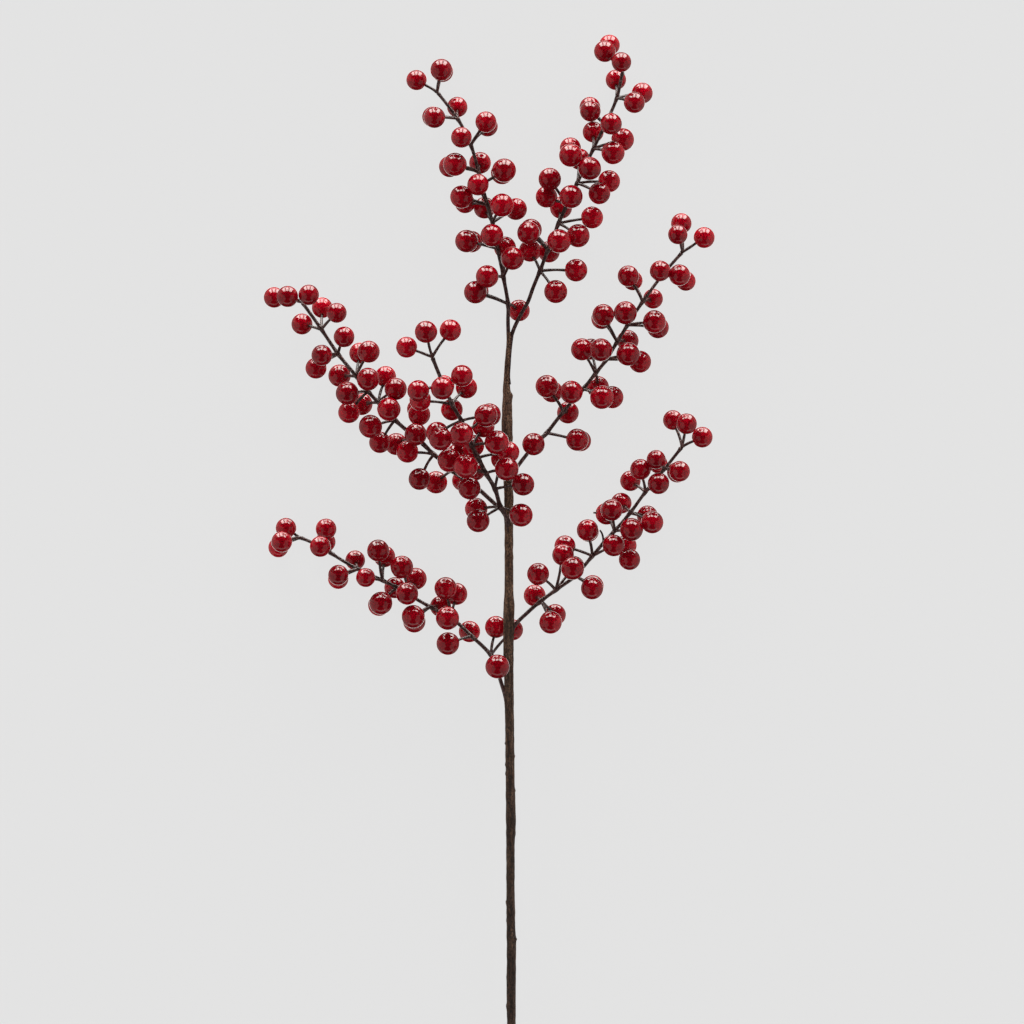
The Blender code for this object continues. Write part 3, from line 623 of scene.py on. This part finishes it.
def array_of(vector):
    """A vector as a numpy array."""
    return np.array(tuple(vector))


def unit(vector):
    """The same direction with length 1."""
    return vector / np.linalg.norm(vector)


def ring_angles(sides):
    """Angles of the sides of a ring."""
    return 2 * math.pi * np.arange(sides) / sides


def ring_faces(ring_count, sides, closed=True):
    """Faces of a tube whose rings follow each other, with its ends closed or left open."""
    faces = []
    for ring in range(ring_count - 1):
        low = ring * sides
        for k in range(sides):
            after = (k + 1) % sides
            faces.append((low + k, low + after, low + sides + after, low + sides + k))
    if closed:
        last = (ring_count - 1) * sides
        faces.append(tuple(reversed(range(sides))))
        faces.append(tuple(range(last, last + sides)))
    return faces


def skin(points, radii):
    """Ring vertices round a path, in directions that don't twist along it.

    The radii have one row a point and one column a side.
    """
    points = np.asarray(points, float)
    along = np.gradient(points, axis=0)
    along /= np.linalg.norm(along, axis=1)[:, None]
    across = np.zeros_like(points)
    side = np.array((0.0, 0.0, 1.0) if abs(along[0, 2]) < NEARLY_UPRIGHT else (1.0, 0.0, 0.0))
    for i, direction in enumerate(along):
        side = unit(side - direction * side.dot(direction))
        across[i] = side
    beside = np.cross(along, across)
    angles = ring_angles(radii.shape[1])
    ring = (
        across[:, None] * np.cos(angles)[None, :, None]
        + beside[:, None] * np.sin(angles)[None, :, None]
    )
    return (points[:, None] + ring * radii[:, :, None]).reshape(-1, 3)


def waves(count, top, length):
    """A smooth uneven function of a distance, from a few seeded waves, within -top and top."""
    parts = []
    for k in range(1, count + 1):
        rate = dice.uniform(*WAVE_RATES) * 2 * math.pi * k / length
        parts.append((rate, dice.uniform(0, ANY_PHASE)))
    return lambda s: top * sum(np.sin(rate * s + phase) for rate, phase in parts) / count


def resample(points, step):
    """Evenly spaced points on the same path, how far along each lies, and the path's length."""
    points = np.asarray([tuple(p) for p in points], float)
    walked = np.concatenate(([0.0], np.cumsum(np.linalg.norm(np.diff(points, axis=0), axis=1))))
    spots = np.linspace(0.0, walked[-1], max(2, math.ceil(walked[-1] / step) + 1))
    return np.stack([np.interp(spots, walked, points[:, k]) for k in range(3)], axis=1), spots, walked[-1]


def add_twig(shape, controls, knots, thickness, tone):
    """A twig in its tape: knots swell, and the tape's edge winds round it."""
    root_radius, tip_radius = thickness * DRAWN_ROOT_RADIUS, thickness * DRAWN_TIP_RADIUS
    points, spots, length = resample(smooth_path(controls, TWIG_FINE_SPANS), TWIG_STEP)
    radius = root_radius + (tip_radius - root_radius) * spots / length
    for index in knots:
        away = np.linalg.norm(points - array_of(controls[index]), axis=1)
        radius = radius * (1 + KNOT_RISE * np.exp(-((away / KNOT_SPREAD) ** 2)))
    angles = ring_angles(TWIG_AROUND)
    wound = (spots[:, None] / TAPE_PITCH + angles[None] / (2 * math.pi)) % 1.0
    uneven = 1 + TAPE_EDGE * (wound - 0.5)
    for _ in range(TAPE_WAVES):
        turns = dice.choice(TAPE_TURNS)
        pitch = dice.uniform(*TAPE_PITCHES)
        phase = dice.uniform(0, ANY_PHASE)
        uneven = uneven + TAPE_LUMPS * np.sin(turns * angles[None] + spots[:, None] / pitch + phase)
    end = np.clip((length - spots) / TIP_ROUNDING, TIP_LEAST, 1.0) ** 0.5
    shape.tube(points, radius[:, None] * uneven * end[:, None], tone)


def add_stalk(shape, knot, twig_direction, centre, radius, tone):
    """A thin stalk that leans along the twig where it starts and runs into the berry."""
    knot, centre = array_of(knot), array_of(centre)
    away = centre - knot
    reach = np.linalg.norm(away)
    away /= reach
    aside = np.array([dice.gauss(0, 1) for _ in range(3)])
    aside = unit(aside - away * aside.dot(away))
    end = knot + away * (reach - STALK_END * radius)
    bend = aside * dice.uniform(*STALK_BENDS) * STALK_BEND + twig_direction * STALK_LEAN
    middle = (knot + end) / 2 + bend
    share = np.linspace(0, 1, STALK_SPANS + 1)[:, None]
    points = knot * (1 - share) ** 2 + middle * 2 * share * (1 - share) + end * share**2
    cap_height, cap_place, cap_spread = STALK_CAP
    cap = cap_height * np.exp(-((share - cap_place) / cap_spread) ** 2)
    width = STALK_RADIUS * (STALK_WIDE - STALK_TAPER * share + cap)
    angles = ring_angles(STALK_AROUND)
    turned = 2 * angles[None] + share * STALK_TWIST + dice.uniform(0, ANY_PHASE)
    uneven = 1 + STALK_UNEVEN * np.sin(turned)
    shape.tube(points, width * uneven, tone)


def add_bare_stalk(shape, points, tone):
    """A stalk that has no berry."""
    path, spots, length = resample(smooth_path(points, BARE_SPANS), TWIG_STEP)
    radius = STALK_RADIUS * (BARE_WIDE - BARE_TAPER * spots / length)
    shape.tube(path, np.repeat(radius[:, None], STALK_AROUND, axis=1), tone)


def add_nub(shape, place, direction, length, width):
    """A small end of tape or bud scale that lies along the twig."""
    spots = np.linspace(-1, 1, NUB_RINGS)
    points = place + unit(direction) * spots[:, None] * length / 2
    shape.tube(points, np.sqrt(np.clip(1 - spots**2, NUB_LEAST, 1))[:, None] * np.array(NUB_ROUND) * width)


def add_knot_nubs(shape, before, knot):
    """The small ends of tape and bud scales round a knot."""
    heading = unit(array_of(knot) - array_of(before))
    for _ in range(dice.choice(NUB_COUNTS)):
        turn = dice.uniform(0, 2 * math.pi)
        out = unit(np.cross(heading, (math.cos(turn), NUB_TILT, math.sin(turn))))
        place = array_of(knot) + out * TWIG_ROOT_RADIUS + heading * dice.uniform(*NUB_PLACES)
        length, width = dice.uniform(*NUB_LENGTHS), dice.uniform(*NUB_WIDTHS)
        add_nub(shape, place, heading + out * NUB_SPLAY, length, width)


def add_rough_side(shape, controls, span_count):
    """Scales that stand off one side of a twig's first spans."""
    places = []
    for before, here in zip(controls[1:span_count], controls[2:span_count + 1]):
        before, here = array_of(before), array_of(here)
        for _ in range(ROUGH_PER_SPAN):
            places.append((before + (here - before) * dice.uniform(*ROUGH_PLACES), unit(here - before)))
    for place, heading in places:
        side = np.cross(heading, (0, 0, 1))
        length = dice.uniform(*ROUGH_LENGTHS)
        add_nub(shape, place + side * TWIG_ROOT_RADIUS, heading + side * ROUGH_SPLAY, length, ROUGH_WIDTH)


def add_berry(shape, knot, centre, radius, tone):
    """A lacquered berry: a slightly uneven ball with a dimple where the stalk goes in, and painted shade
    in that dimple.
    """
    turn = ring_angles(BERRY_AROUND)
    pole = unit(array_of(knot - centre))
    side = unit(np.cross(pole, OFF_AXIS))
    other = np.cross(pole, side)
    rings = np.linspace(0, math.pi, BERRY_ALONG + 1)[1:-1]
    direction = (
        pole * np.cos(rings)[:, None, None]
        + side * (np.sin(rings)[:, None] * np.cos(turn))[..., None]
        + other * (np.sin(rings)[:, None] * np.sin(turn))[..., None]
    ).reshape(-1, 3)
    direction = np.vstack((direction, pole, -pole))
    lump = np.zeros(len(direction))
    for _ in range(LUMP_WAVES):
        axis = unit(np.array([dice.gauss(0, 1) for _ in range(3)]))
        lump += np.sin(direction @ axis * dice.uniform(*LUMP_RATES) + dice.uniform(0, ANY_PHASE))
    from_stalk = np.arccos(np.clip(direction @ pole, -1, 1))
    hollow = np.exp(-((from_stalk / DIMPLE_WIDTH) ** 2))
    size = BERRY_COAT + BERRY_LUMPS * lump / (2 * LUMP_WAVES) - DIMPLE_DEPTH * hollow
    vertices = array_of(centre) + direction * (radius * size)[:, None]
    faces = [(a, d, c, b) for a, b, c, d in ring_faces(len(rings), BERRY_AROUND, closed=False)]
    last = (len(rings) - 1) * BERRY_AROUND
    top = last + BERRY_AROUND
    for k in range(BERRY_AROUND):
        after = (k + 1) % BERRY_AROUND
        faces.append((top, k, after))
        faces.append((top + 1, last + after, last + k))
    # The dimple's depth also goes on as painted shade: the paint darkens where the stalk goes in.
    shape.add(vertices, faces, hollow, tone)


def new_material(name, values):
    """A new material, its node tree and its Principled shader with these values."""
    material = bpy.data.materials.new(name)
    material.use_nodes = True
    tree = material.node_tree
    shader = tree.nodes["Principled BSDF"]
    for socket, value in values.items():
        shader.inputs[socket].default_value = value
    return material, tree, shader


def noise(tree, scale, detail, stretch=(1.0, 1.0, 1.0)):
    """Noise in metres of the object's own space, stretched along its axes."""
    place = tree.nodes.new("ShaderNodeTexCoord")
    mapping = tree.nodes.new("ShaderNodeMapping")
    mapping.inputs["Scale"].default_value = stretch
    texture = tree.nodes.new("ShaderNodeTexNoise")
    texture.inputs["Scale"].default_value = scale
    texture.inputs["Detail"].default_value = detail
    texture.inputs["Roughness"].default_value = 0.55
    tree.links.new(place.outputs["Object"], mapping.inputs["Vector"])
    tree.links.new(mapping.outputs["Vector"], texture.inputs["Vector"])
    return texture.outputs["Fac"]


def painted(tree, name):
    """The node that reads a value which the piece's vertices carry."""
    node = tree.nodes.new("ShaderNodeAttribute")
    node.attribute_name = name
    return node


def ramp(tree, value, stops):
    """A colour ramp over a value; stops are (position, colour)."""
    node = tree.nodes.new("ShaderNodeValToRGB")
    ends = node.color_ramp.elements
    for element, (position, colour) in ((ends[0], stops[0]), (ends[1], stops[-1])):
        element.position = position
        element.color = (*colour, 1.0)
    for position, colour in stops[1:-1]:
        node.color_ramp.elements.new(position).color = (*colour, 1.0)
    tree.links.new(value, node.inputs["Fac"])
    return node.outputs["Color"]


def grey_ramp(tree, value, *stops):
    """A ramp of greys; stops are (position, grey)."""
    return ramp(tree, value, [(position, (grey, grey, grey)) for position, grey in stops])


def plug(tree, socket, value):
    """Links a socket, or sets a colour or number on one."""
    if isinstance(value, bpy.types.NodeSocket):
        tree.links.new(value, socket)
    else:
        socket.default_value = (*value, 1.0) if isinstance(value, tuple) else value


def blend(tree, share, first, second, kind="MIX"):
    """The second colour over the first by a share."""
    node = tree.nodes.new("ShaderNodeMix")
    node.data_type = "RGBA"
    node.blend_type = kind
    plug(tree, node.inputs["Factor"], share)
    plug(tree, node.inputs["A"], first)
    plug(tree, node.inputs["B"], second)
    return node.outputs["Result"]


def bump(tree, shader, *heights):
    """Chains bumps; heights are (value, strength, distance in metres)."""
    normal = None
    for value, strength, distance in heights:
        node = tree.nodes.new("ShaderNodeBump")
        node.inputs["Strength"].default_value = strength
        node.inputs["Distance"].default_value = distance
        tree.links.new(value, node.inputs["Height"])
        if normal is not None:
            tree.links.new(normal, node.inputs["Normal"])
        normal = node.outputs["Normal"]
    tree.links.new(normal, shader.inputs["Normal"])


def berry_lacquer():
    """Red paint, mottled and without gloss of its own, under a clear coat that isn't quite even, with
    painted shade in the dimple at the stalk.
    """
    under_coat = {"Roughness": 0.45, "Specular IOR Level": 0.0}
    coat = {"Coat Weight": 1.0, "Coat Roughness": 0.01}
    material, tree, shader = new_material("berry_lacquer", {**under_coat, **coat})
    mottle = noise(tree, 1200, 2)
    red = ramp(
        tree,
        noise(tree, 90, 2),
        ((0.3, (0.124, 0.0003, 0.0036)), (0.5, (0.17, 0.0003, 0.0043)), (0.7, (0.227, 0.0004, 0.006))),
    )
    dark = ramp(tree, mottle, ((0.36, (0.5, 0.45, 0.45)), (0.62, (1.1, 1.0, 1.0))))
    red = blend(tree, 0.9, red, dark, "MULTIPLY")
    red = blend(tree, 1.0, red, painted(tree, "tone").outputs["Color"], "MULTIPLY")
    # Painted shade: the red goes nearly black in the dimple where the stalk goes in.
    red = blend(tree, painted(tree, "stain").outputs["Fac"], red, (0.03, 0.008, 0.006))
    tree.links.new(red, shader.inputs["Base Color"])
    broad, fine = (noise(tree, 230, 1), 0.95, 0.0005), (noise(tree, 640, 1), 0.8, 0.0001)
    bump(tree, shader, broad, fine, (mottle, 0.05, 0.0002))
    return material


def twig_tape():
    """Dark brown tape with pale worn patches."""
    material, tree, shader = new_material("twig_tape", {"Roughness": 0.3})
    patches = noise(tree, 700, 5)
    fibres = noise(tree, 2200, 3)
    brown = ramp(
        tree,
        patches,
        ((0.3, (0.012, 0.004, 0.0037)), (0.48, (0.033, 0.0105, 0.0092)), (0.58, (0.073, 0.03, 0.027)),
         (0.7, (0.19, 0.115, 0.105))),
    )
    brown = blend(tree, 0.5, brown, grey_ramp(tree, fibres, (0.35, 0.5), (0.65, 1.0)), "MULTIPLY")
    brown = blend(tree, 1.0, brown, painted(tree, "tone").outputs["Color"], "MULTIPLY")
    tree.links.new(brown, shader.inputs["Base Color"])
    bump(tree, shader, (patches, 0.7, 0.0004), (fibres, 0.3, 0.0002))
    return material


def stem_wrap():
    """Brown crepe paper with long fibres, worn patches and a shade towards the foot."""
    values = {"Roughness": 0.78, "Specular IOR Level": 0.35}
    material, tree, shader = new_material("stem_wrap", values)
    streaks = noise(tree, 800, 5, (1.0, 0.09, 1.0))
    fibres = noise(tree, 1700, 3, (1.0, 0.5, 1.0))
    patches = noise(tree, 160, 3, (1.0, 0.35, 1.0))
    crepe = noise(tree, 900, 3, (0.5, 1.0, 0.5))
    brown = ramp(
        tree,
        streaks,
        ((0.3, (0.026, 0.011, 0.006)), (0.45, (0.064, 0.031, 0.017)), (0.56, (0.105, 0.056, 0.032)),
         (0.72, (0.19, 0.112, 0.068))),
    )
    worn = ramp(tree, patches, ((0.35, (0.72, 0.66, 0.62)), (0.65, (1.05, 1.05, 1.05))))
    brown = blend(tree, 0.85, brown, grey_ramp(tree, fibres, (0.4, 0.12), (0.58, 1.32)), "MULTIPLY")
    brown = blend(tree, 1.0, brown, worn, "MULTIPLY")
    brown = blend(tree, painted(tree, "stain").outputs["Fac"], brown, WRAP_SHADE, "MULTIPLY")
    tree.links.new(brown, shader.inputs["Base Color"])
    bump(tree, shader, (streaks, 0.7, 0.0005), (fibres, 0.9, 0.0005), (crepe, 0.7, 0.0005))
    return material


def wire_steel():
    """Drawn steel with scratches along it."""
    material, tree, shader = new_material("wire_steel", {"Metallic": 1.0, "Roughness": 0.36})
    scratches = noise(tree, 3000, 3, (1.0, 0.05, 1.0))
    grey = ramp(tree, scratches, ((0.3, (0.22, 0.21, 0.20)), (0.7, (0.52, 0.51, 0.49))))
    tree.links.new(grey, shader.inputs["Base Color"])
    bump(tree, shader, (scratches, 0.2, 0.0001))
    return material


def stem_radii(ys, spots, angles):
    """The drawn stem's radius at each station and side, with its creases, seam and wrap ends."""
    radius = np.array([stem_at(y)[1] for y in ys])
    window = 2 * STEM_SMOOTHING + 1
    radius = np.convolve(np.pad(radius, STEM_SMOOTHING, "edge"), np.ones(window) / window, "valid")
    creases = np.zeros((len(ys), STEM_AROUND))
    for folds in CREASE_FOLDS:
        drift = waves(*CREASE_DRIFT)(spots)[:, None]
        depth = 0.5 + 0.5 * np.abs(waves(*CREASE_FADE)(spots))[:, None]
        turned = folds * angles[None] + folds * drift + dice.uniform(0, ANY_PHASE)
        creases += depth / folds**0.5 * np.sin(turned)
    radii = radius[:, None] + CREASE_DEPTH * creases
    seam = (angles[None] + SEAM_START + spots[:, None] * SEAM_TURN) / (2 * math.pi) % 1.0
    radii += SEAM_HEIGHT * (seam - 0.5)
    radii += waves(*EDGE_WAVES)(spots)[:, None]
    long_slope, steep_slope = WRAP_END_SLOPES
    for y, side, height, length in WRAP_ENDS:
        near = (ys - y) / length
        rise = np.exp(-((near * np.where(near < 0, long_slope, steep_slope)) ** 2))
        toward = np.clip(side * np.cos(angles), 0, 1) ** WRAP_END_FOCUS
        radii += height * PLAN_STEP * rise[:, None] * toward[None]
    return radii


def make_stem(material):
    """The paper-wrapped stem: creases run along it, and ends of the wrap stand out at its edges."""
    top_y, end_y = STEM_STATIONS[0][0], STEM_STATIONS[-1][0]
    count = math.ceil((end_y - top_y) * PLAN_STEP / STEM_STEP)
    ys = np.linspace(top_y, end_y, count + 1)
    axes = np.array([tuple(stem_at(y)[0]) for y in ys])
    angles = ring_angles(STEM_AROUND)
    radii = stem_radii(ys, (ys - top_y) * PLAN_STEP, angles)
    ring = np.stack((np.cos(angles), np.zeros(STEM_AROUND), np.sin(angles)), axis=1)
    bore = WIRE_RADIUS + CLEARANCE / 2
    tip = array_of(plan(LEADER[0][0], SLEEVE_END_Y, stem_at(SLEEVE_END_Y)[0].z))
    thin = LEADER[0][2] * PLAN_STEP / 2 + SLEEVE_LIFT
    end = array_of(stem_at(end_y)[0])
    end_face = end + np.array((0, -END_BULGE, 0))
    rows = [tip + np.array((0, -SLEEVE_TUCK, 0)) + ring * thin / 2]
    for share in SLEEVE_SHARES:
        flare = (radii[0][:, None] - thin) * share**SLEEVE_FLARE
        rows.append(tip + (axes[0] - tip) * share + ring * (thin + flare))
    rows += [
        *(axes[:, None] + ring[None] * radii[:, :, None]),
        end_face + ring * (radii[-1][:, None] - END_BEVEL),
        end_face + ring * bore,
        array_of(stem_at(end_y - BORE_DEPTH)[0]) + ring * bore,
    ]
    vertices = np.concatenate(rows).reshape(-1, 3)
    vertices[:, 2] = np.maximum(vertices[:, 2], 0.0)
    faces = [tuple(reversed(face)) for face in ring_faces(len(rows), STEM_AROUND, closed=False)]
    rows_y = PLAN_CENTRE[1] - vertices[:, 1] / PLAN_STEP
    shape = Shape()
    shape.add(vertices, faces, np.interp(rows_y, *WRAP_SHADES))
    shape.piece("stem_wrap", "main_stem", "wrap", material)


def make_leader(material):
    """The fork's leader, from inside the socket in the stem's top end to where the arms part."""
    top_y = STEM_STATIONS[0][0]
    floor, mouth = stem_at(top_y + SOCKET_DEPTH)[0], stem_at(top_y)[0]
    points = [floor.lerp(mouth, SOCKET_SHARE), mouth] + [plan(x, y, stem_at(y)[0].z) for x, y, _ in LEADER]
    widths = [LEADER_WIDTH] * 2 + [width for _, _, width in LEADER]
    path, spots, length = resample(smooth_path(points, LEADER_SPANS), TWIG_STEP)
    walked = np.concatenate(([0.0], np.cumsum([(b - a).length for a, b in zip(points, points[1:])])))
    radius = np.interp(spots / length, walked / walked[-1], widths) * PLAN_STEP / 2
    angles = ring_angles(LEADER_AROUND)
    uneven = np.ones((len(path), LEADER_AROUND))
    for folds in LEADER_FOLDS:
        drift = waves(*LEADER_DRIFT)(spots)
        uneven += LEADER_UNEVEN * np.sin(folds * angles[None] + folds * drift[:, None])
    shape = Shape()
    shape.tube(path, radius[:, None] * uneven)
    shape.piece("spray_top_fork_leader", "spray_top_fork", "wrap", material)


def sink_root(controls):
    """Leads the first two points of a twig into the stem, whose wrap covers the root there."""
    for i, dip in enumerate(ROOT_DIPS):
        y = PLAN_CENTRE[1] - controls[i].y / PLAN_STEP
        inward = (stem_at(y)[0] - controls[i]).normalized()
        controls[i] = controls[i] + inward * dip


def grow_arms():
    """Every arm's spray, control points and knots, and every berry with its height."""
    leads = []
    for spray in SIDE_SPRAYS:
        root_ys = (spray.root_y + ROOT_LENGTH, spray.root_y)
        lead = [stem_side(y, spray.root_angle, TWIG_ROOT_RADIUS) for y in root_ys]
        leads.append((spray.name, lead, spray.whorls, spray.tip_z, spray.arch))
    for start, whorls in ((LEFT_ARM_START, TOP_LEFT_WHORLS), (RIGHT_ARM_START, TOP_RIGHT_WHORLS)):
        lead = [plan(*start, stem_at(start[1])[0].z)]
        leads.append(("spray_top_fork", lead, whorls, FORK_TIP_Z, 0.0))
    arms, berries, solids = [], [], []
    for name, lead, whorls, tip_z, arch in leads:
        controls, knots, twig, own = grow(name, lead, whorls, tip_z, arch)
        if len(lead) > 1:
            sink_root(controls)
        arms.append(Arm(name, controls, knots))
        berries += own
        solids += along_segments(twig.points, twig.radii)
    stations = [stem_at(y) for y, _, _ in STEM_STATIONS]
    solids += along_segments([axis for axis, _ in stations], [radius for _, radius in stations])
    return arms, list(zip(berries, berry_heights(berries, solids)))


def heading_at(arms, knot):
    """The direction of the twig at a knot."""
    for arm in arms:
        for index in arm.knots:
            if arm.controls[index] == knot:
                return array_of((knot - arm.controls[index - 1]).normalized())
    raise ValueError("no twig passes this knot")


def make_sprays(lacquer, tape):
    """Each spray's twigs and its berries."""
    arms, berries = grow_arms()
    for node in sorted({arm.spray for arm in arms}):
        woody, round_ones = Shape(), Shape()
        tone = TAPE_TONES[node]
        own_arms = [arm for arm in arms if arm.spray == node]
        for arm in own_arms:
            add_twig(woody, arm.controls, arm.knots, THICKER.get(node, 1.0), tone)
            for index in arm.knots:
                add_knot_nubs(woody, arm.controls[index - 1], arm.controls[index])
        for points in BARE_STALKS.get(node, ()):
            add_bare_stalk(woody, [plan(*point) for point in points], BARE_TONE)
        for arm in own_arms:
            add_rough_side(woody, arm.controls, ROUGH_SPANS.get(node, 0))
        for berry, z in berries:
            if berry.spray != node:
                continue
            centre = Vector((berry.x, berry.y, z))
            heading = heading_at(own_arms, berry.knot)
            add_stalk(woody, berry.knot, heading, centre, berry.radius, tone)
            berry_tone = dice.uniform(*(FRONT_TONES if berry.level == FRONT else OTHER_TONES))
            add_berry(round_ones, berry.knot, centre, berry.radius, berry_tone)
        woody.piece(node + "_twigs", node, "wrap", tape)
        round_ones.piece(node + "_berries", node, "berries", lacquer)


def make_floor():
    """A pale floor that shows to the camera alone."""
    bpy.ops.mesh.primitive_plane_add(size=FLOOR_SIZE, location=(0, 0, FLOOR_Z))
    floor = bpy.context.object
    floor.name = "floor"
    values = {
        "Base Color": FLOOR_TONE,
        "Emission Color": (1.0, 1.0, 1.0, 1.0),
        "Emission Strength": FLOOR_GLOW,
        "Roughness": 1.0,
        "Specular IOR Level": 0.0,
    }
    floor.data.materials.append(new_material("floor_paper", values)[0])
    floor.visible_diffuse = False
    floor.visible_glossy = False
    floor.visible_shadow = False


def make_fills():
    """Fill lights on the camera's side and all round, which no gloss mirrors."""
    for azimuth, elevation, strength in FILLS:
        fill = bpy.data.lights.new("fill", "SUN")
        fill.energy = strength
        fill.angle = math.radians(FILL_ANGLE)
        fill.use_shadow = False
        made = bpy.data.objects.new("fill", fill)
        turn, rise = math.radians(azimuth), math.radians(elevation)
        toward = Vector((math.sin(turn) * math.cos(rise), math.cos(turn) * math.cos(rise), math.sin(rise)))
        made.location = FILL_DISTANCE * toward
        made.rotation_euler = toward.to_track_quat("Z", "Y").to_euler()
        made.visible_glossy = False
        bpy.context.scene.collection.objects.link(made)


def make_sky():
    """The studio round the branch: bright panels for light and gloss, a plain backdrop to the camera."""
    world = bpy.data.worlds.new("studio")
    bpy.context.scene.world = world
    world.use_nodes = True
    tree = world.node_tree
    place = tree.nodes.new("ShaderNodeTexCoord")
    split = tree.nodes.new("ShaderNodeSeparateXYZ")
    tree.links.new(place.outputs["Generated"], split.inputs["Vector"])
    x, y, z = (split.outputs[k] for k in "XYZ")
    azimuth = calc(tree, "ARCTAN2", x, y)
    elevation = calc(tree, "ARCSINE", z)
    total = SKY_BASE
    for panel in SKY_PANELS:
        total = calc(tree, "ADD", total, sky_panel(tree, azimuth, elevation, *panel))
    seen = tree.nodes.new("ShaderNodeLightPath")
    warm = blend(tree, 1.0, total, SKY_TINT, "MULTIPLY")
    colour = blend(tree, seen.outputs["Is Camera Ray"], warm, BACKDROP)
    tree.links.new(colour, tree.nodes["Background"].inputs["Color"])


def calc(tree, kind, *values):
    """A math node over sockets and numbers."""
    node = tree.nodes.new("ShaderNodeMath")
    node.operation = kind
    for socket, value in zip(node.inputs, values):
        plug(tree, socket, value)
    return node.outputs[0]


def fade(tree, value, edge, soft):
    """From 0 to 1 as the value passes an edge; the edge and its softness are in degrees."""
    node = tree.nodes.new("ShaderNodeMapRange")
    node.interpolation_type = "SMOOTHSTEP"
    tree.links.new(value, node.inputs["Value"])
    node.inputs["From Min"].default_value = math.radians(edge - soft)
    node.inputs["From Max"].default_value = math.radians(edge + soft)
    return node.outputs["Result"]


def sky_panel(tree, azimuth, elevation, middle, half, low, high, soft, radiance):
    """A bright rectangle in the sky with soft edges."""
    turned = calc(tree, "SUBTRACT", azimuth, math.radians(middle))
    off = calc(tree, "ABSOLUTE", calc(tree, "WRAP", turned, math.pi, -math.pi))
    across = calc(tree, "SUBTRACT", 1.0, fade(tree, off, half, soft))
    above = fade(tree, elevation, low, soft)
    below = calc(tree, "SUBTRACT", 1.0, fade(tree, elevation, high, soft))
    lit = calc(tree, "MULTIPLY", across, calc(tree, "MULTIPLY", above, below))
    return calc(tree, "MULTIPLY", lit, radiance)


def make_camera():
    """Straight down from far above, framed on the part of the branch above its lower stem."""
    data = bpy.data.cameras.new("camera")
    made = bpy.data.objects.new("camera", data)
    bpy.context.scene.collection.objects.link(made)
    data.sensor_width = SENSOR_WIDTH
    data.lens = SENSOR_WIDTH * (CAMERA_HEIGHT - FRAMED_Z) / (IMAGE_SIZE * PLAN_STEP)
    data.clip_end = CAMERA_CLIP
    made.location = plan(IMAGE_SIZE / 2, IMAGE_SIZE / 2, CAMERA_HEIGHT)
    bpy.context.scene.camera = made


make_camera()
make_floor()
make_fills()
make_sky()
make_sprays(berry_lacquer(), twig_tape())
wrap = stem_wrap()
make_stem(wrap)
make_leader(wrap)
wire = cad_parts["stem_wire"]
wire.data.materials.clear()
wire.data.materials.append(wire_steel())
bpy.context.scene.view_settings.view_transform = "Standard"
